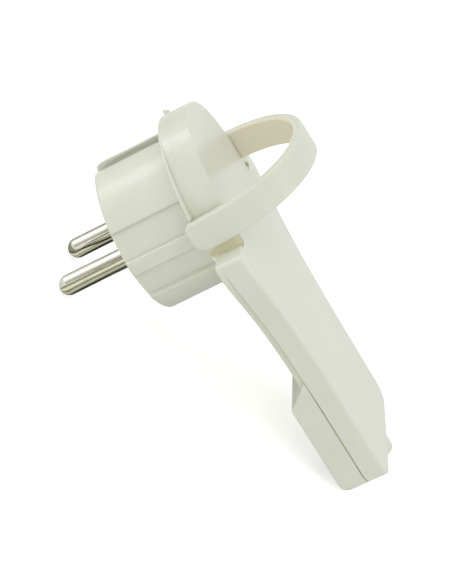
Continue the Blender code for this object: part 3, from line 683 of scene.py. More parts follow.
@dataclass(frozen=True)
class Metal:
    """A plated or turned metal with fine lines along one direction and a few tiny marks."""

    name: str
    bright: Colour
    dull: Colour
    gloss: float
    lines: Point3
    patch_scale: float = 0.35
    mark_scale: float = 0.9
    mark_size: float = 0.05
    wear_range: Point = (0.35, 0.68)
    wear_gloss: float = 0.11
    mark_gloss: float = 0.12
    relief: float = 0.22
    relief_height: float = 0.00003

    def material(self, plug: "PlugFrame") -> bpy.types.Material:
        """Build the material in the plug's own millimetres.

        Args:
            plug: Frame that gives the place on the surface.

        Returns:
            The material.
        """
        sheet = ShaderSheet(self.name)
        place = sheet.plug_place(plug)
        lines = sheet.noise(sheet.stretched(place, self.lines), 1.0, 4.0, 0.62)
        patches = sheet.noise(place, self.patch_scale, 3.0)
        marks = sheet.speckles(place, self.mark_scale, self.mark_size)
        wear = (patches * 0.55 + lines * 0.45).between(*self.wear_range)
        colour = sheet.mix(wear, self.bright, self.dull)
        rough = self.gloss + wear * self.wear_gloss + marks * self.mark_gloss
        relief = sheet.bump(lines * 0.8 + patches * 0.2 - marks * 0.3, self.relief,
                            self.relief_height)
        return sheet.finish({"Base Color": colour, "Roughness": rough, "Normal": relief},
                            {"Metallic": 1.0})


@dataclass(frozen=True)
class PaleFloor:
    """Plain pale table; to the camera it is white, and it keeps the object's shadow."""

    name: str = "pale_table"
    colour: Colour = (0.92, 0.92, 0.91)
    lift: float = 0.55
    cloud_scale: float = 0.02
    cloud_share: float = 0.985

    def material(self, plug: "PlugFrame") -> bpy.types.Material:
        """Build the material.

        Args:
            plug: Frame that gives the place on the surface.

        Returns:
            The material.
        """
        sheet = ShaderSheet(self.name)
        place = sheet.plug_place(plug)
        clouds = sheet.noise(place, self.cloud_scale, 2.0)
        darker = tuple(part * self.cloud_share for part in self.colour)
        colour = sheet.mix(clouds, self.colour, darker)
        sheet.finish({"Base Color": colour}, {"Roughness": 0.8, "Specular IOR Level": 0.2})
        glow = sheet.node("ShaderNodeEmission", None,
                          {"Color": (1.0, 1.0, 1.0), "Strength": self.lift})
        lifted = sheet.node("ShaderNodeAddShader", None, {0: sheet.plain, 1: glow})
        sheet.show(sheet.node("ShaderNodeMixShader", None,
                              {0: sheet.ray("Is Camera Ray"), 1: sheet.plain, 2: lifted}))
        return sheet.material


# Frame and shared sizes.


class PlugFrame:
    """Where the plug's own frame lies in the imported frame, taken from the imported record."""

    def __init__(self, record: dict[str, Any], pivot: Point) -> None:
        """Work out the tilt from the plug face, and the shift from the ring's hinge.

        Args:
            record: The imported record.
            pivot: The hinge's (y, z) in the plug's millimetres.
        """
        face = next(mount for mount in record["mounts"] if mount["name"] == "plug_face")
        hinge = record["behaviour"]["joints"][0]
        self.tilt = math.atan2(face["axis"][1], -face["axis"][2])
        turn = Matrix.Rotation(self.tilt, 4, "X")
        self.shift = Vector(hinge["pos_m"]) - turn @ Vector((0.0, pivot[0], pivot[1])) * MM
        self.matrix = Matrix.Translation(self.shift) @ turn @ Matrix.Scale(MM, 4)

    def point(self, place: Point3) -> Vector:
        """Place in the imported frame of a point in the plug's millimetres."""
        return self.matrix @ Vector(place)

    def direction(self, way: Point3) -> Vector:
        """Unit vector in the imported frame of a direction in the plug's frame."""
        return (self.matrix.to_3x3() @ Vector(way)).normalized()


@dataclass(frozen=True)
class PlugSizes:
    """Sizes that more than one sub-assembly needs, in millimetres."""

    gap: float = 0.3
    overlap: float = 0.5
    spare: float = 2.0
    reach: float = 150.0
    pin_x: float = 9.5
    body_radius: float = 18.5
    body_depth: float = 18.4
    front_wall: float = 3.0
    head_radius: float = 21.5
    lip: float = 0.7
    seam: float = 2.6
    back: float = 7.8
    cover_wall: float = 1.6
    side_wall: float = 2.0
    recess_floor: float = 16.4
    bridge_back: float = 2.0
    strip_thickness: float = 0.8
    sink_depth: float = 2.3
    boss_roof: float = 0.6
    head_seam: float = 0.01
    arm_seam: float = 0.05
    block_seam: float = 0.05
    shoulder_top: float = 4.4
    shoulder_half: float = 28.2
    shoulder_corner: float = 1.2
    taper_start: float = 7.0
    taper_length: float = 17.8
    taper_end: float = 64.0
    taper_power: float = 1.5
    taper_steps: int = 44
    arm_half: float = 19.8
    arm_end: float = 75.2
    arm_corner: float = 4.8
    block_depth: float = 3.6
    block_start: float = 48.0
    block_floor: float = -1.8
    clamp_post_top: float = 1.6
    exit_radius: float = 4.9
    exit_bore: float = 3.8
    exit_length: float = 3.0
    exit_height: float = 2.75
    pivot: Point = (1.3, 4.8)
    ring_half: float = 22.1
    ring_reach: float = 23.4
    ring_thickness: float = 2.4
    ring_band: float = 7.4
    ring_side_gap: float = 0.5
    trunnion_radius: float = 1.75
    lug_tail: float = 6.6
    lug_arm_corner: float = 3.2
    lug_top_corner: float = 1.8
    lug_slot_wall: float = 0.1
    running_gap: float = 0.35
    screw_radius: float = 1.5
    post_radius: float = 2.9
    cover_screw: Point = (13.6, 67.0)
    clamp_screw: Point = (8.5, 57.0)
    earth_screw_y: float = 9.5

    @property
    def cover_base(self) -> float:
        """Height of the cover's edge at the seam."""
        return self.seam + self.head_seam

    @property
    def cover_roof(self) -> float:
        """Height of the inside of the cover's back."""
        return self.back - self.cover_wall

    @property
    def floor_inside(self) -> float:
        """Height of the floor inside the plug body."""
        return -self.body_depth + self.front_wall

    @property
    def screw_hole(self) -> float:
        """Radius of a clearance hole."""
        return self.screw_radius + self.gap

    @property
    def ring_inner(self) -> Point:
        """Half axes of the inside of the ring."""
        return (self.ring_half - self.ring_thickness, self.ring_reach - self.ring_thickness)

    @property
    def cover_screws(self) -> dict[str, Point]:
        """Places of the three cover screws, by the last word of their names."""
        sides = {side.word: self.beside(side, self.cover_screw) for side in Side}
        return {"middle": (0.0, 0.0), **sides}

    @staticmethod
    def beside(side: Side, spot: Point) -> Point:
        """Place of a mirrored post or screw, from its distances across and down the arm."""
        return (side.value * spot[0], -spot[1])

    def slab(self, name: str, low: float, high: float,
             top: float | None = None) -> bpy.types.Mesh:
        """Wide slab between two heights, up to a level in y or over the whole plug."""
        far = self.reach
        return block(name, (-far, -far, low), (far, far if top is None else top, high))

    def arm_width_at(self, y: float, inset: float = 0.0) -> float:
        """Half width of the arm, which flares towards the shoulders.

        Args:
            y: Level on the arm.
            inset: Distance inside the outer face.

        Returns:
            The half width in millimetres.
        """
        share = max(-self.taper_start - y, 0.0) / self.taper_length
        flare = (self.shoulder_half - self.arm_half) * math.exp(-share ** self.taper_power)
        return self.arm_half + flare - inset

    def arm_side(self, top: float, inset: float = 0.0) -> Outline:
        """Right side of the arm.

        Args:
            top: Level at which the side starts.
            inset: Distance inside the outer face.

        Returns:
            Points from the start down to the middle of the arm's end corner.
        """
        steps = self.taper_steps
        levels = [top + (-self.taper_end - top) * step / steps for step in range(steps + 1)]
        side = [(self.arm_width_at(y, inset), y) for y in levels]
        centre = (self.arm_half - self.arm_corner, -self.arm_end + self.arm_corner)
        return side + arc(centre, self.arm_corner - inset, 0, -90)

    def shoulder_side(self) -> Outline:
        """Right side of the arm with the rounded corner of its shoulder.

        Returns:
            Points from the shoulder's top down.
        """
        centre = (self.shoulder_half - self.shoulder_corner,
                  -self.shoulder_top - self.shoulder_corner)
        return arc(centre, self.shoulder_corner, 90, 0, 8) + self.arm_side(-self.taper_start)

    def cover_outline(self) -> Outline:
        """Plan of the back cover: the round head and the arm in one outline.

        Returns:
            Closed outline in (x, y).
        """
        meeting = math.degrees(math.asin(-self.shoulder_top / self.head_radius))
        head = arc((0.0, 0.0), self.head_radius, 90, meeting, 72)
        return mirrored(head + self.shoulder_side())

    def exit_rods(self, tag: str) -> tuple[bpy.types.Mesh, bpy.types.Mesh]:
        """The collar of the cable exit and its bore.

        Args:
            tag: First word of the shapes' names.

        Returns:
            The collar, which is joined on, and the bore, which is cut off.
        """
        centre = (0.0, self.exit_height)
        end = -self.arm_end - self.exit_length
        collar = rod(tag + "_exit_collar", self.exit_radius, end, -self.arm_end + self.overlap,
                     centre, Axis.Y, 72)
        bore = rod(tag + "_exit_bore", self.exit_bore, end - 2 * self.overlap,
                   -self.arm_end + self.side_wall + self.overlap, centre, Axis.Y, 72)
        return collar, bore

    def ring_room(self, tag: str) -> list[bpy.types.Mesh]:
        """Recess of the folded ring and the two slots in which its lugs turn.

        Args:
            tag: First word of the shapes' names.

        Returns:
            The three shapes that are cut off the head.
        """
        half = self.ring_inner[0] - self.ring_side_gap
        rise = self.ring_inner[1] - self.ring_side_gap
        y, z = self.pivot
        far = self.reach
        floor = half_ellipse(half, rise, y)
        outline = floor + [(-far, y), (-far, far), (far, far), (far, y)]
        shapes = [prism(tag + "_ring_recess", outline, self.lip, z + self.ring_band / 2)]
        inner = half - self.lug_slot_wall
        outer = self.ring_half + self.ring_side_gap
        return shapes + [across(f"{tag}_lug_slot_{side.word}", self.lug_sweep(), side, inner,
                                outer) for side in Side]

    def lug_sweep(self) -> Outline:
        """Side view of the room in which a lug turns, in (y, z).

        Returns:
            Closed outline that covers the lug at every angle.
        """
        half = self.ring_band / 2
        corners = (self.lug_top_corner, self.lug_arm_corner)
        swept = max(math.hypot(half - r, self.lug_tail - r) + r for r in corners)
        y, z = self.pivot
        front = y + half + self.running_gap
        points = [(front, -self.body_depth), (front, self.reach), (y, self.reach)]
        points += arc((y, z), swept + self.running_gap, 90, 270, 48)
        return points + [(y, -self.body_depth)]


@dataclass
class Workshop:
    """The frame, the shared sizes and the finishes that every sub-assembly uses."""

    plug: PlugFrame
    sizes: PlugSizes
    ivory: bpy.types.Material
    ring_ivory: bpy.types.Material
    nickel: bpy.types.Material
    strip: bpy.types.Material
    brass: bpy.types.Material
    steel: bpy.types.Material

    def deliver(self, blank: Blank, name: str, node: str, finish: bpy.types.Material, slot: Slot,
                place: Matrix | None = None, body: Body = Body.PLUG) -> None:
        """Finish a piece, hide the CAD node it replaces and hang it on its body.

        Args:
            blank: The shape with all its steps.
            name: Name of the piece.
            node: The CAD node it replaces.
            finish: Its material.
            slot: The record's slot for that material; not used.
            place: Where the shape stands in the plug, if it isn't drawn in place.
            body: The body it rides on.
        """
        piece = blank.made(name, self.plug.matrix @ place if place else self.plug.matrix)
        piece.data.materials.clear()
        piece.data.materials.append(finish)
        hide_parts(node)
        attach(piece, body.value)
        LOG.info("%s: %d faces", piece.name, len(piece.data.polygons))

    def refinish(self, node: str, finish: bpy.types.Material) -> None:
        """Put a finish on a CAD node that stays as it is.

        Args:
            node: Name of the node.
            finish: Its material.
        """
        item = frame["nodes"][node]
        for slot in item.material_slots:
            slot.material = finish
        LOG.info("%s: kept with %s", node, finish.name)


@dataclass
class Assembly:
    """A sub-assembly, which draws its pieces from the shared sizes."""

    shop: Workshop

    @property
    def sizes(self) -> PlugSizes:
        """Sizes that the sub-assemblies share."""
        return self.shop.sizes


# Sub-assemblies.


@dataclass
class FrontShell(Assembly):
    """Plug body, wall flange, arm plate and clamp block, moulded as one piece."""

    body_edge: float = 1.0
    body_wall: float = 2.2
    head_edge: float = 0.5
    rib_width: float = 3.8
    groove_span: float = 17.6
    groove_depth: float = 1.1
    groove_end: float = 0.4
    rib_edge: float = 0.45
    groove_steps: int = 12
    recess_half: float = 2.2
    window_half: float = 1.7
    plate_front: float = 1.15
    ramp_start: float = 43.8
    block_edge: float = 3.4
    plate_inset: float = 0.85
    plate_start: float = 8.0
    plate_blend: float = 9.0
    plate_step: float = 0.9
    plate_steps: int = 53
    plate_depth: float = 10.0
    plate_reach: float = 40.0
    arm_edge: float = 0.6
    block_post: float = 4.2
    clamp_post: float = 2.7
    pin_hole: float = 2.7
    sink_radius: float = 3.0
    stop_angle: float = 28.0
    stop_width: float = 3.2
    stop_height: float = 1.2
    stop_draft: float = 0.25
    stop_front: float = 0.1
    stop_back: float = 0.95

    def body_profile(self) -> Outline:
        """Half section of the plug body and the flange, from the seam down.

        Returns:
            Points (radius, height) from axis to axis.
        """
        sizes = self.sizes
        profile = [(0.0, sizes.seam), (sizes.head_radius, sizes.seam)]
        profile += arc((sizes.head_radius - self.head_edge, self.head_edge), self.head_edge,
                       0, -90, 6)
        profile.append((sizes.body_radius, 0.0))
        profile += arc((sizes.body_radius - self.body_edge, -sizes.body_depth + self.body_edge),
                       self.body_edge, 0, -90, 8)
        return profile + [(0.0, -sizes.body_depth)]

    def arm_side_view(self) -> Outline:
        """Side view of the plate, the ramp and the clamp block, in (y, z).

        Returns:
            Closed outline.
        """
        sizes = self.sizes
        above = sizes.seam + sizes.spare
        start = -sizes.shoulder_top + sizes.overlap
        edge = (-sizes.arm_end + self.block_edge, -sizes.block_depth + self.block_edge)
        points = [(start, above), (start, self.plate_front), (-self.ramp_start, self.plate_front),
                  (-sizes.block_start, -sizes.block_depth)]
        return points + arc(edge, self.block_edge, -90, -180, 14) + [(-sizes.arm_end, above)]

    def groove(self, sign_x: int, sign_y: int) -> Outline:
        """Recess beside the guide rib on one side of the plug body.

        Args:
            sign_x: Side of the plug, -1 or 1.
            sign_y: -1 towards the arm, 1 towards the top.

        Returns:
            Closed outline of the recess, with rounded edges at the rib and at the body.
        """
        radius = self.sizes.body_radius
        first = math.degrees(math.asin(self.rib_width / 2 / radius))
        last = math.degrees(math.asin(self.groove_span / 2 / radius))
        edge = self.rib_edge
        polar = [(radius + self.sizes.overlap, first - math.degrees(edge / radius))]
        polar += [(radius - edge + v, first + math.degrees((u - edge) / radius))
                  for u, v in arc((0.0, 0.0), edge, 90, 0, 5)]
        polar += [(radius - self.groove_depth, first + (last - first) * step / self.groove_steps)
                  for step in range(self.groove_steps + 1)]
        polar += [(radius - edge + v, last + math.degrees((edge + u) / radius))
                  for u, v in arc((0.0, 0.0), edge, 180, 90, 5)]
        polar.append((radius + self.sizes.overlap, last + math.degrees(edge / radius)))
        return [(sign_x * r * math.cos(math.radians(a)), sign_y * r * math.sin(math.radians(a)))
                for r, a in polar]

    def arm(self) -> Blank:
        """Arm plate and clamp block with softened edges.

        Returns:
            The shape that is joined on.
        """
        sizes = self.sizes
        arm = Blank("arm", prism("arm", mirrored(sizes.shoulder_side()),
                                 -sizes.block_depth - sizes.overlap,
                                 sizes.seam + sizes.spare))
        arm.combine(Way.KEEP, prism("arm_side_view", self.arm_side_view(), -sizes.reach,
                                    sizes.reach, Axis.X))
        arm.soften(self.arm_edge)
        return arm

    def plate_strip(self, side: Side) -> Blank:
        """Narrow strip that sets the plate back behind the cover's side, up to the ramp.

        Args:
            side: Side of the arm.

        Returns:
            The shape that is cut off.
        """
        sizes = self.sizes
        slope = (sizes.block_start - self.ramp_start) / (self.plate_front + sizes.block_depth)
        low, high = -self.plate_depth, sizes.seam + 2 * sizes.overlap
        ramp = [(-self.ramp_start + (z - self.plate_front) * slope, z) for z in (high, low)]
        side_view = [(-self.plate_start, low), (-self.plate_start, high), *ramp]
        inner = []
        for step in range(self.plate_steps + 1):
            down = self.plate_step * step
            y = -self.plate_start - down
            inset = self.plate_inset * min(down / self.plate_blend, 1.0)
            inner.append((side.value * (sizes.arm_width_at(y) - inset), y))
        far = side.value * self.plate_reach
        tag = f"plate_step_{side.word}"
        strip = Blank(tag, prism(tag, inner + [(far, inner[-1][1]), (far, inner[0][1])],
                                 low, high))
        strip.combine(Way.KEEP, prism(tag + "_length", side_view, -sizes.reach, sizes.reach,
                                      Axis.X))
        return strip

    def shape_body(self, shell: Blank) -> None:
        """Cut the guide grooves and the recesses of the earth contacts.

        Args:
            shell: The shell that is cut.
        """
        sizes = self.sizes
        deep = -sizes.body_depth - sizes.overlap
        signs = [side.value for side in Side]
        for sign_x in signs:
            for sign_y in signs:
                shell.cut(prism(f"groove_{sign_x}_{sign_y}", self.groove(sign_x, sign_y), deep,
                                -self.groove_end))
        inner = sizes.recess_floor - sizes.side_wall - sizes.overlap
        bottom = -sizes.bridge_back - sizes.strip_thickness - sizes.gap
        for sign in signs:
            near, far = sorted((sign * sizes.recess_floor,
                                sign * (sizes.body_radius + sizes.overlap)))
            shell.cut(block(f"earth_recess_{sign}", (-self.recess_half, near, deep),
                            (self.recess_half, far, -self.groove_end)))
            near, far = sorted((sign * inner, sign * sizes.body_radius))
            shell.cut(block(f"earth_window_{sign}", (-self.window_half, near, bottom),
                            (self.window_half, far, -sizes.bridge_back + sizes.gap)))

    def ring_stop(self) -> bpy.types.Mesh:
        """Small stop on the lip, against which the folded ring comes to lie.

        Returns:
            The mesh of the stop.
        """
        radius = self.sizes.head_radius
        inner, outer = radius - self.stop_height, radius + self.stop_height
        side_view = [(inner, self.stop_front), (outer, self.stop_front),
                     (outer - self.stop_draft, self.stop_back), (inner, self.stop_back)]
        stop = prism("ring_stop", side_view, -self.stop_width / 2, self.stop_width / 2, Axis.X)
        stop.transform(Matrix.Rotation(math.radians(-self.stop_angle), 4, "Z"))
        return stop

    def hollow(self, shell: Blank) -> None:
        """Room for the contacts and the clamp, with the posts that stand in it.

        Args:
            shell: The shell that is hollowed.
        """
        sizes = self.sizes
        radius = sizes.body_radius - self.body_wall
        flat = sizes.recess_floor - sizes.side_wall
        start = math.degrees(math.asin(flat / radius))
        shell.cut(prism("plug_cavity", mirrored(arc((0.0, 0.0), radius, start, -start, 48)),
                        sizes.floor_inside, sizes.reach))
        top = -sizes.block_start - sizes.side_wall
        side = [point for point in sizes.arm_side(top, sizes.side_wall) if point[1] <= top]
        side.insert(0, (sizes.arm_half - sizes.side_wall, top))
        shell.cut(prism("clamp_cavity", mirrored(side), sizes.block_floor, sizes.reach))
        post_top = sizes.seam - sizes.gap
        shell.join(rod("middle_post", sizes.post_radius, sizes.floor_inside - sizes.overlap,
                       post_top))
        low = sizes.block_floor - sizes.overlap
        for side in Side:
            shell.join(rod(f"block_post_{side.word}", self.block_post, low, post_top,
                           sizes.beside(side, sizes.cover_screw)),
                       rod(f"clamp_post_{side.word}", self.clamp_post, low, sizes.clamp_post_top,
                           sizes.beside(side, sizes.clamp_screw)))

    def drill_for_screw(self, shell: Blank, tag: str, place: Point, face: float) -> None:
        """Counterbore from the outside face and a clearance hole through the post.

        Args:
            shell: The shell that is drilled.
            tag: First word of the shapes' names.
            place: Where the screw stands.
            face: Height of the outside face.
        """
        sizes = self.sizes
        below = face - sizes.overlap
        shell.cut(rod(tag + "_hole", sizes.screw_hole, below, sizes.seam + sizes.overlap, place,
                      sides=48),
                  rod(tag + "_sink", self.sink_radius, below, face + sizes.sink_depth, place))

    def drill(self, shell: Blank) -> None:
        """Pin bores, screw holes and counterbores.

        Args:
            shell: The shell that is drilled.
        """
        sizes = self.sizes
        for side in Side:
            shell.cut(rod(f"pin_bore_{side.word}", self.pin_hole,
                          -sizes.body_depth - sizes.overlap, sizes.floor_inside + sizes.overlap,
                          (side.value * sizes.pin_x, 0.0)))
            self.drill_for_screw(shell, f"block_{side.word}",
                                 sizes.beside(side, sizes.cover_screw), -sizes.block_depth)
            shell.cut(rod(f"clamp_hole_{side.word}", sizes.screw_hole,
                          sizes.block_floor + sizes.overlap, sizes.seam + sizes.overlap,
                          sizes.beside(side, sizes.clamp_screw), sides=48))
        self.drill_for_screw(shell, "middle", (0.0, 0.0), -sizes.body_depth)

    def build(self) -> None:
        """Make the shell."""
        sizes = self.sizes
        shell = Blank("shell", turned("shell", self.body_profile(), 144))
        collar, bore = sizes.exit_rods("front")
        shell.join(self.arm(), collar)
        shell.cut(sizes.slab("front_trim", sizes.seam, sizes.reach),
                  *(self.plate_strip(side) for side in Side))
        self.shape_body(shell)
        shell.cut(*sizes.ring_room("front"))
        shell.join(self.ring_stop())
        self.hollow(shell)
        self.drill(shell)
        shell.cut(bore)
        self.shop.deliver(shell, "front_housing", "front_shell", self.shop.ivory, Slot.IVORY)


@dataclass
class BackCover(Assembly):
    """Flat cover of the head and the arm, with bosses, ribs and the ring's bearings."""

    edge: float = 0.65
    edge_steps: int = 5
    edge_angle: float = 50.0
    trim_depth: float = 1.0
    head_cavity: float = 17.0
    cavity_top: float = 9.5
    bearing_span: Point = (15.0, 19.7)
    rib_x: float = 9.0
    rib_width: float = 1.2
    rib_depth: float = 1.4
    rib_start: float = 22.0
    rib_end: float = 46.0

    def bearing(self) -> Outline:
        """U-shaped bearing of the ring, open towards the seam, in (y, z).

        Returns:
            Closed outline.
        """
        sizes = self.sizes
        radius = sizes.trunnion_radius + sizes.gap
        below = sizes.cover_base - sizes.overlap
        y = sizes.pivot[0]
        return arc(sizes.pivot, radius, 0, 180, 28) + [(y - radius, below), (y + radius, below)]

    def hollow(self, cover: Blank) -> None:
        """Cavities of the head and the arm, and the two bearings.

        Args:
            cover: The cover that is hollowed.
        """
        sizes = self.sizes
        below = sizes.cover_base - sizes.overlap
        cover.cut(rod("head_cavity", self.head_cavity, below, sizes.cover_roof, sides=96),
                  prism("arm_cavity", mirrored(sizes.arm_side(-self.cavity_top, sizes.side_wall)),
                        below, sizes.cover_roof))
        cover.cut(*(across(f"bearing_{side.word}", self.bearing(), side, *self.bearing_span)
                    for side in Side))

    def stiffen(self, cover: Blank) -> None:
        """Screw bosses over the posts and two ribs under the arm's back.

        Args:
            cover: The cover that gets them.
        """
        sizes = self.sizes
        roof = sizes.cover_roof
        for tag, place in sizes.cover_screws.items():
            cover.join(rod(f"boss_{tag}", sizes.post_radius, sizes.seam, roof + sizes.overlap,
                           place))
            cover.cut(rod(f"boss_hole_{tag}", sizes.screw_hole, sizes.seam - sizes.overlap,
                          roof - sizes.boss_roof + sizes.gap, place, sides=48))
        for side in Side:
            middle = side.value * self.rib_x
            cover.join(block(f"rib_{side.word}",
                             (middle - self.rib_width / 2, -self.rib_end, roof - self.rib_depth),
                             (middle + self.rib_width / 2, -self.rib_start, roof + sizes.overlap)))

    def build(self) -> None:
        """Make the cover."""
        sizes = self.sizes
        cover = Blank("cover", prism("cover", sizes.cover_outline(), sizes.seam - sizes.spare,
                                     sizes.back))
        cover.soften(self.edge, self.edge_steps, self.edge_angle)
        collar, bore = sizes.exit_rods("back")
        cover.join(collar)
        below = sizes.seam - self.trim_depth
        cover.cut(sizes.slab("back_trim", -sizes.reach, sizes.cover_base),
                  sizes.slab("arm_trim", below, sizes.seam + sizes.arm_seam, -self.cavity_top),
                  sizes.slab("block_trim", below, sizes.seam + sizes.block_seam, -self.rib_end),
                  *sizes.ring_room("back"))
        self.hollow(cover)
        self.stiffen(cover)
        cover.cut(bore)
        self.shop.deliver(cover, "back_housing", "back_cover", self.shop.ivory, Slot.IVORY)


@dataclass
class PullRing(Assembly):
    """Fold-out ring with two rounded lugs and stub trunnions."""

    edge: float = 0.6
    edge_steps: int = 5
    arch_steps: int = 112
    lean: float = 2.0
    thinnest: float = 0.05
    trunnion_span: Point = (-2.5, 1.2)
    straight_levels: Point = (1.2, 2.4)

    def rounded_section(self, low: Point, high: Point, radius: float) -> Outline:
        """Rectangle with rounded corners in the (share, y) plane.

        Args:
            low: Corner with the smallest coordinates.
            high: Corner with the largest coordinates.
            radius: Radius of the corners.

        Returns:
            Closed outline.
        """
        left, right = low[0] + radius, high[0] - radius
        bottom, top = low[1] + radius, high[1] - radius
        centres = [(right, top), (left, top), (left, bottom), (right, bottom)]
        return [point for turn, centre in enumerate(centres)
                for point in arc(centre, radius, 90 * turn, 90 * turn + 90, self.edge_steps)]

    def arch_section(self, angle: float) -> list[Point3]:
        """Section of the band at an angle of its ellipse, across the band's middle line.

        Args:
            angle: Angle of the ellipse in radians.

        Returns:
            The points of the section.
        """
        sizes = self.sizes
        half = sizes.ring_band / 2
        inner = sizes.ring_inner
        outline = self.rounded_section((0.0, -half), (sizes.ring_thickness, half), self.edge)
        points = []
        for depth, y in outline:
            share = depth / sizes.ring_thickness
            spread = inner[0] + (sizes.ring_half - inner[0]) * share
            rise = inner[1] + (sizes.ring_reach - inner[1]) * share
            points.append((spread * math.cos(angle), y, rise * math.sin(angle)))
        return points

    def lug_section(self, side: Side, above: float) -> list[Point3]:
        """Section of a lug at a height above its rounded end.

        Args:
            side: Which lug.
            above: Height above the lug's end.

        Returns:
            The points of the section.
        """
        sizes = self.sizes
        limits = []
        for radius in (sizes.lug_arm_corner, sizes.lug_top_corner):
            rest = max(radius - above, 0.0)
            limits.append(sizes.ring_band / 2 - radius + math.sqrt(radius ** 2 - rest ** 2))
        rest = max(self.edge - above, 0.0)
        inset = self.edge - math.sqrt(self.edge ** 2 - rest ** 2)
        low = (sizes.ring_inner[0] + inset, -limits[0])
        high = (sizes.ring_half - inset, limits[1])
        radius = min(self.edge, (high[0] - low[0]) / 2 - self.thinnest)
        height = -sizes.lug_tail + above
        outline = self.rounded_section(low, high, radius)
        return [(side.value * x, y, height) for x, y in outline]

    def lug_levels(self) -> list[float]:
        """Heights above the lug's end at which sections are taken.

        Returns:
            The heights in rising order.
        """
        corner = self.sizes.lug_arm_corner
        edge = [self.edge * (1.0 - math.cos(math.radians(a))) for a in range(0, 90, 15)]
        bend = [corner * (1.0 - math.cos(math.radians(a))) for a in range(40, 91, 6)]
        return sorted([*edge, *bend, *(corner + level for level in self.straight_levels)])

    def sections(self) -> list[list[Point3]]:
        """Sections from the end of the right lug over the arch to the end of the left one.

        Returns:
            The sections, all with the same number of points.
        """
        levels = self.lug_levels()
        sections = [self.lug_section(Side.RIGHT, level) for level in levels]
        sections += [self.arch_section(math.pi * step / self.arch_steps)
                     for step in range(self.arch_steps + 1)]
        return sections + [self.lug_section(Side.LEFT, level) for level in reversed(levels)]

    def build(self) -> None:
        """Make the ring about its hinge."""
        sizes = self.sizes
        ring = Blank("ring", closed_mesh("ring", self.sections()))
        inner, outer = (sizes.ring_inner[0] + shift for shift in self.trunnion_span)
        ring.join(*(across(f"trunnion_{side.word}", disc(sizes.trunnion_radius), side, inner,
                           outer) for side in Side))
        hinge = Matrix.Translation((0.0, *sizes.pivot))
        lean = Matrix.Rotation(math.radians(-self.lean), 4, "X")
        self.shop.deliver(ring, "fold_out_ring", "pull_ring", self.shop.ring_ivory, Slot.IVORY,
                          hinge @ lean, Body.RING)


@dataclass
class ContactPins(Assembly):
    """Two nickel-plated pins with round tips, collars and bored terminal heads."""

    radius: float = 2.4
    length: float = 19.0
    tip_flat: float = 0.35
    collar_radius: float = 3.6
    collar: float = 1.5
    head_radius: float = 3.9
    head: float = 7.6
    chamfer: float = 0.3
    wire_bore: float = 1.6
    wire_below_top: float = 4.2

    @property
    def seat(self) -> float:
        """Height at which the collar rests on the floor of the plug body."""
        return self.sizes.floor_inside + self.sizes.gap

    @property
    def top(self) -> float:
        """Height of the terminal head's top."""
        return self.seat + self.collar + self.head

    def profile(self) -> Outline:
        """Half section of a pin, from its top down.

        Returns:
            Points (radius, height) from axis to axis.
        """
        collar_top = self.seat + self.collar
        tip = (0.0, -self.sizes.body_depth - self.length + self.radius)
        last = -math.degrees(math.acos(self.tip_flat / self.radius))
        points = [(0.0, self.top), (self.head_radius - self.chamfer, self.top),
                  (self.head_radius, self.top - self.chamfer), (self.head_radius, collar_top),
                  (self.collar_radius, collar_top), (self.collar_radius, self.seat),
                  (self.radius, self.seat)]
        return points + arc(tip, self.radius, 0, last, 16) + [(0.0, tip[1] - self.radius)]

    def build(self) -> None:
        """Make both pins."""
        sizes = self.sizes
        wire = self.top - self.wire_below_top
        for side in Side:
            pin = Blank(f"pin_{side.word}", turned(f"pin_{side.word}", self.profile()))
            pin.cut(rod("wire_bore", self.wire_bore, -2 * self.head_radius, 2 * self.head_radius,
                        (0.0, wire), Axis.Y, 48),
                    rod("terminal_hole", sizes.screw_hole, wire, self.top + sizes.overlap,
                        sides=48))
            self.shop.deliver(pin, f"round_pin_{side.word}", f"contact_pin_{side.word}",
                              self.shop.nickel, Slot.NICKEL,
                              Matrix.Translation((side.value * sizes.pin_x, 0.0, 0.0)))


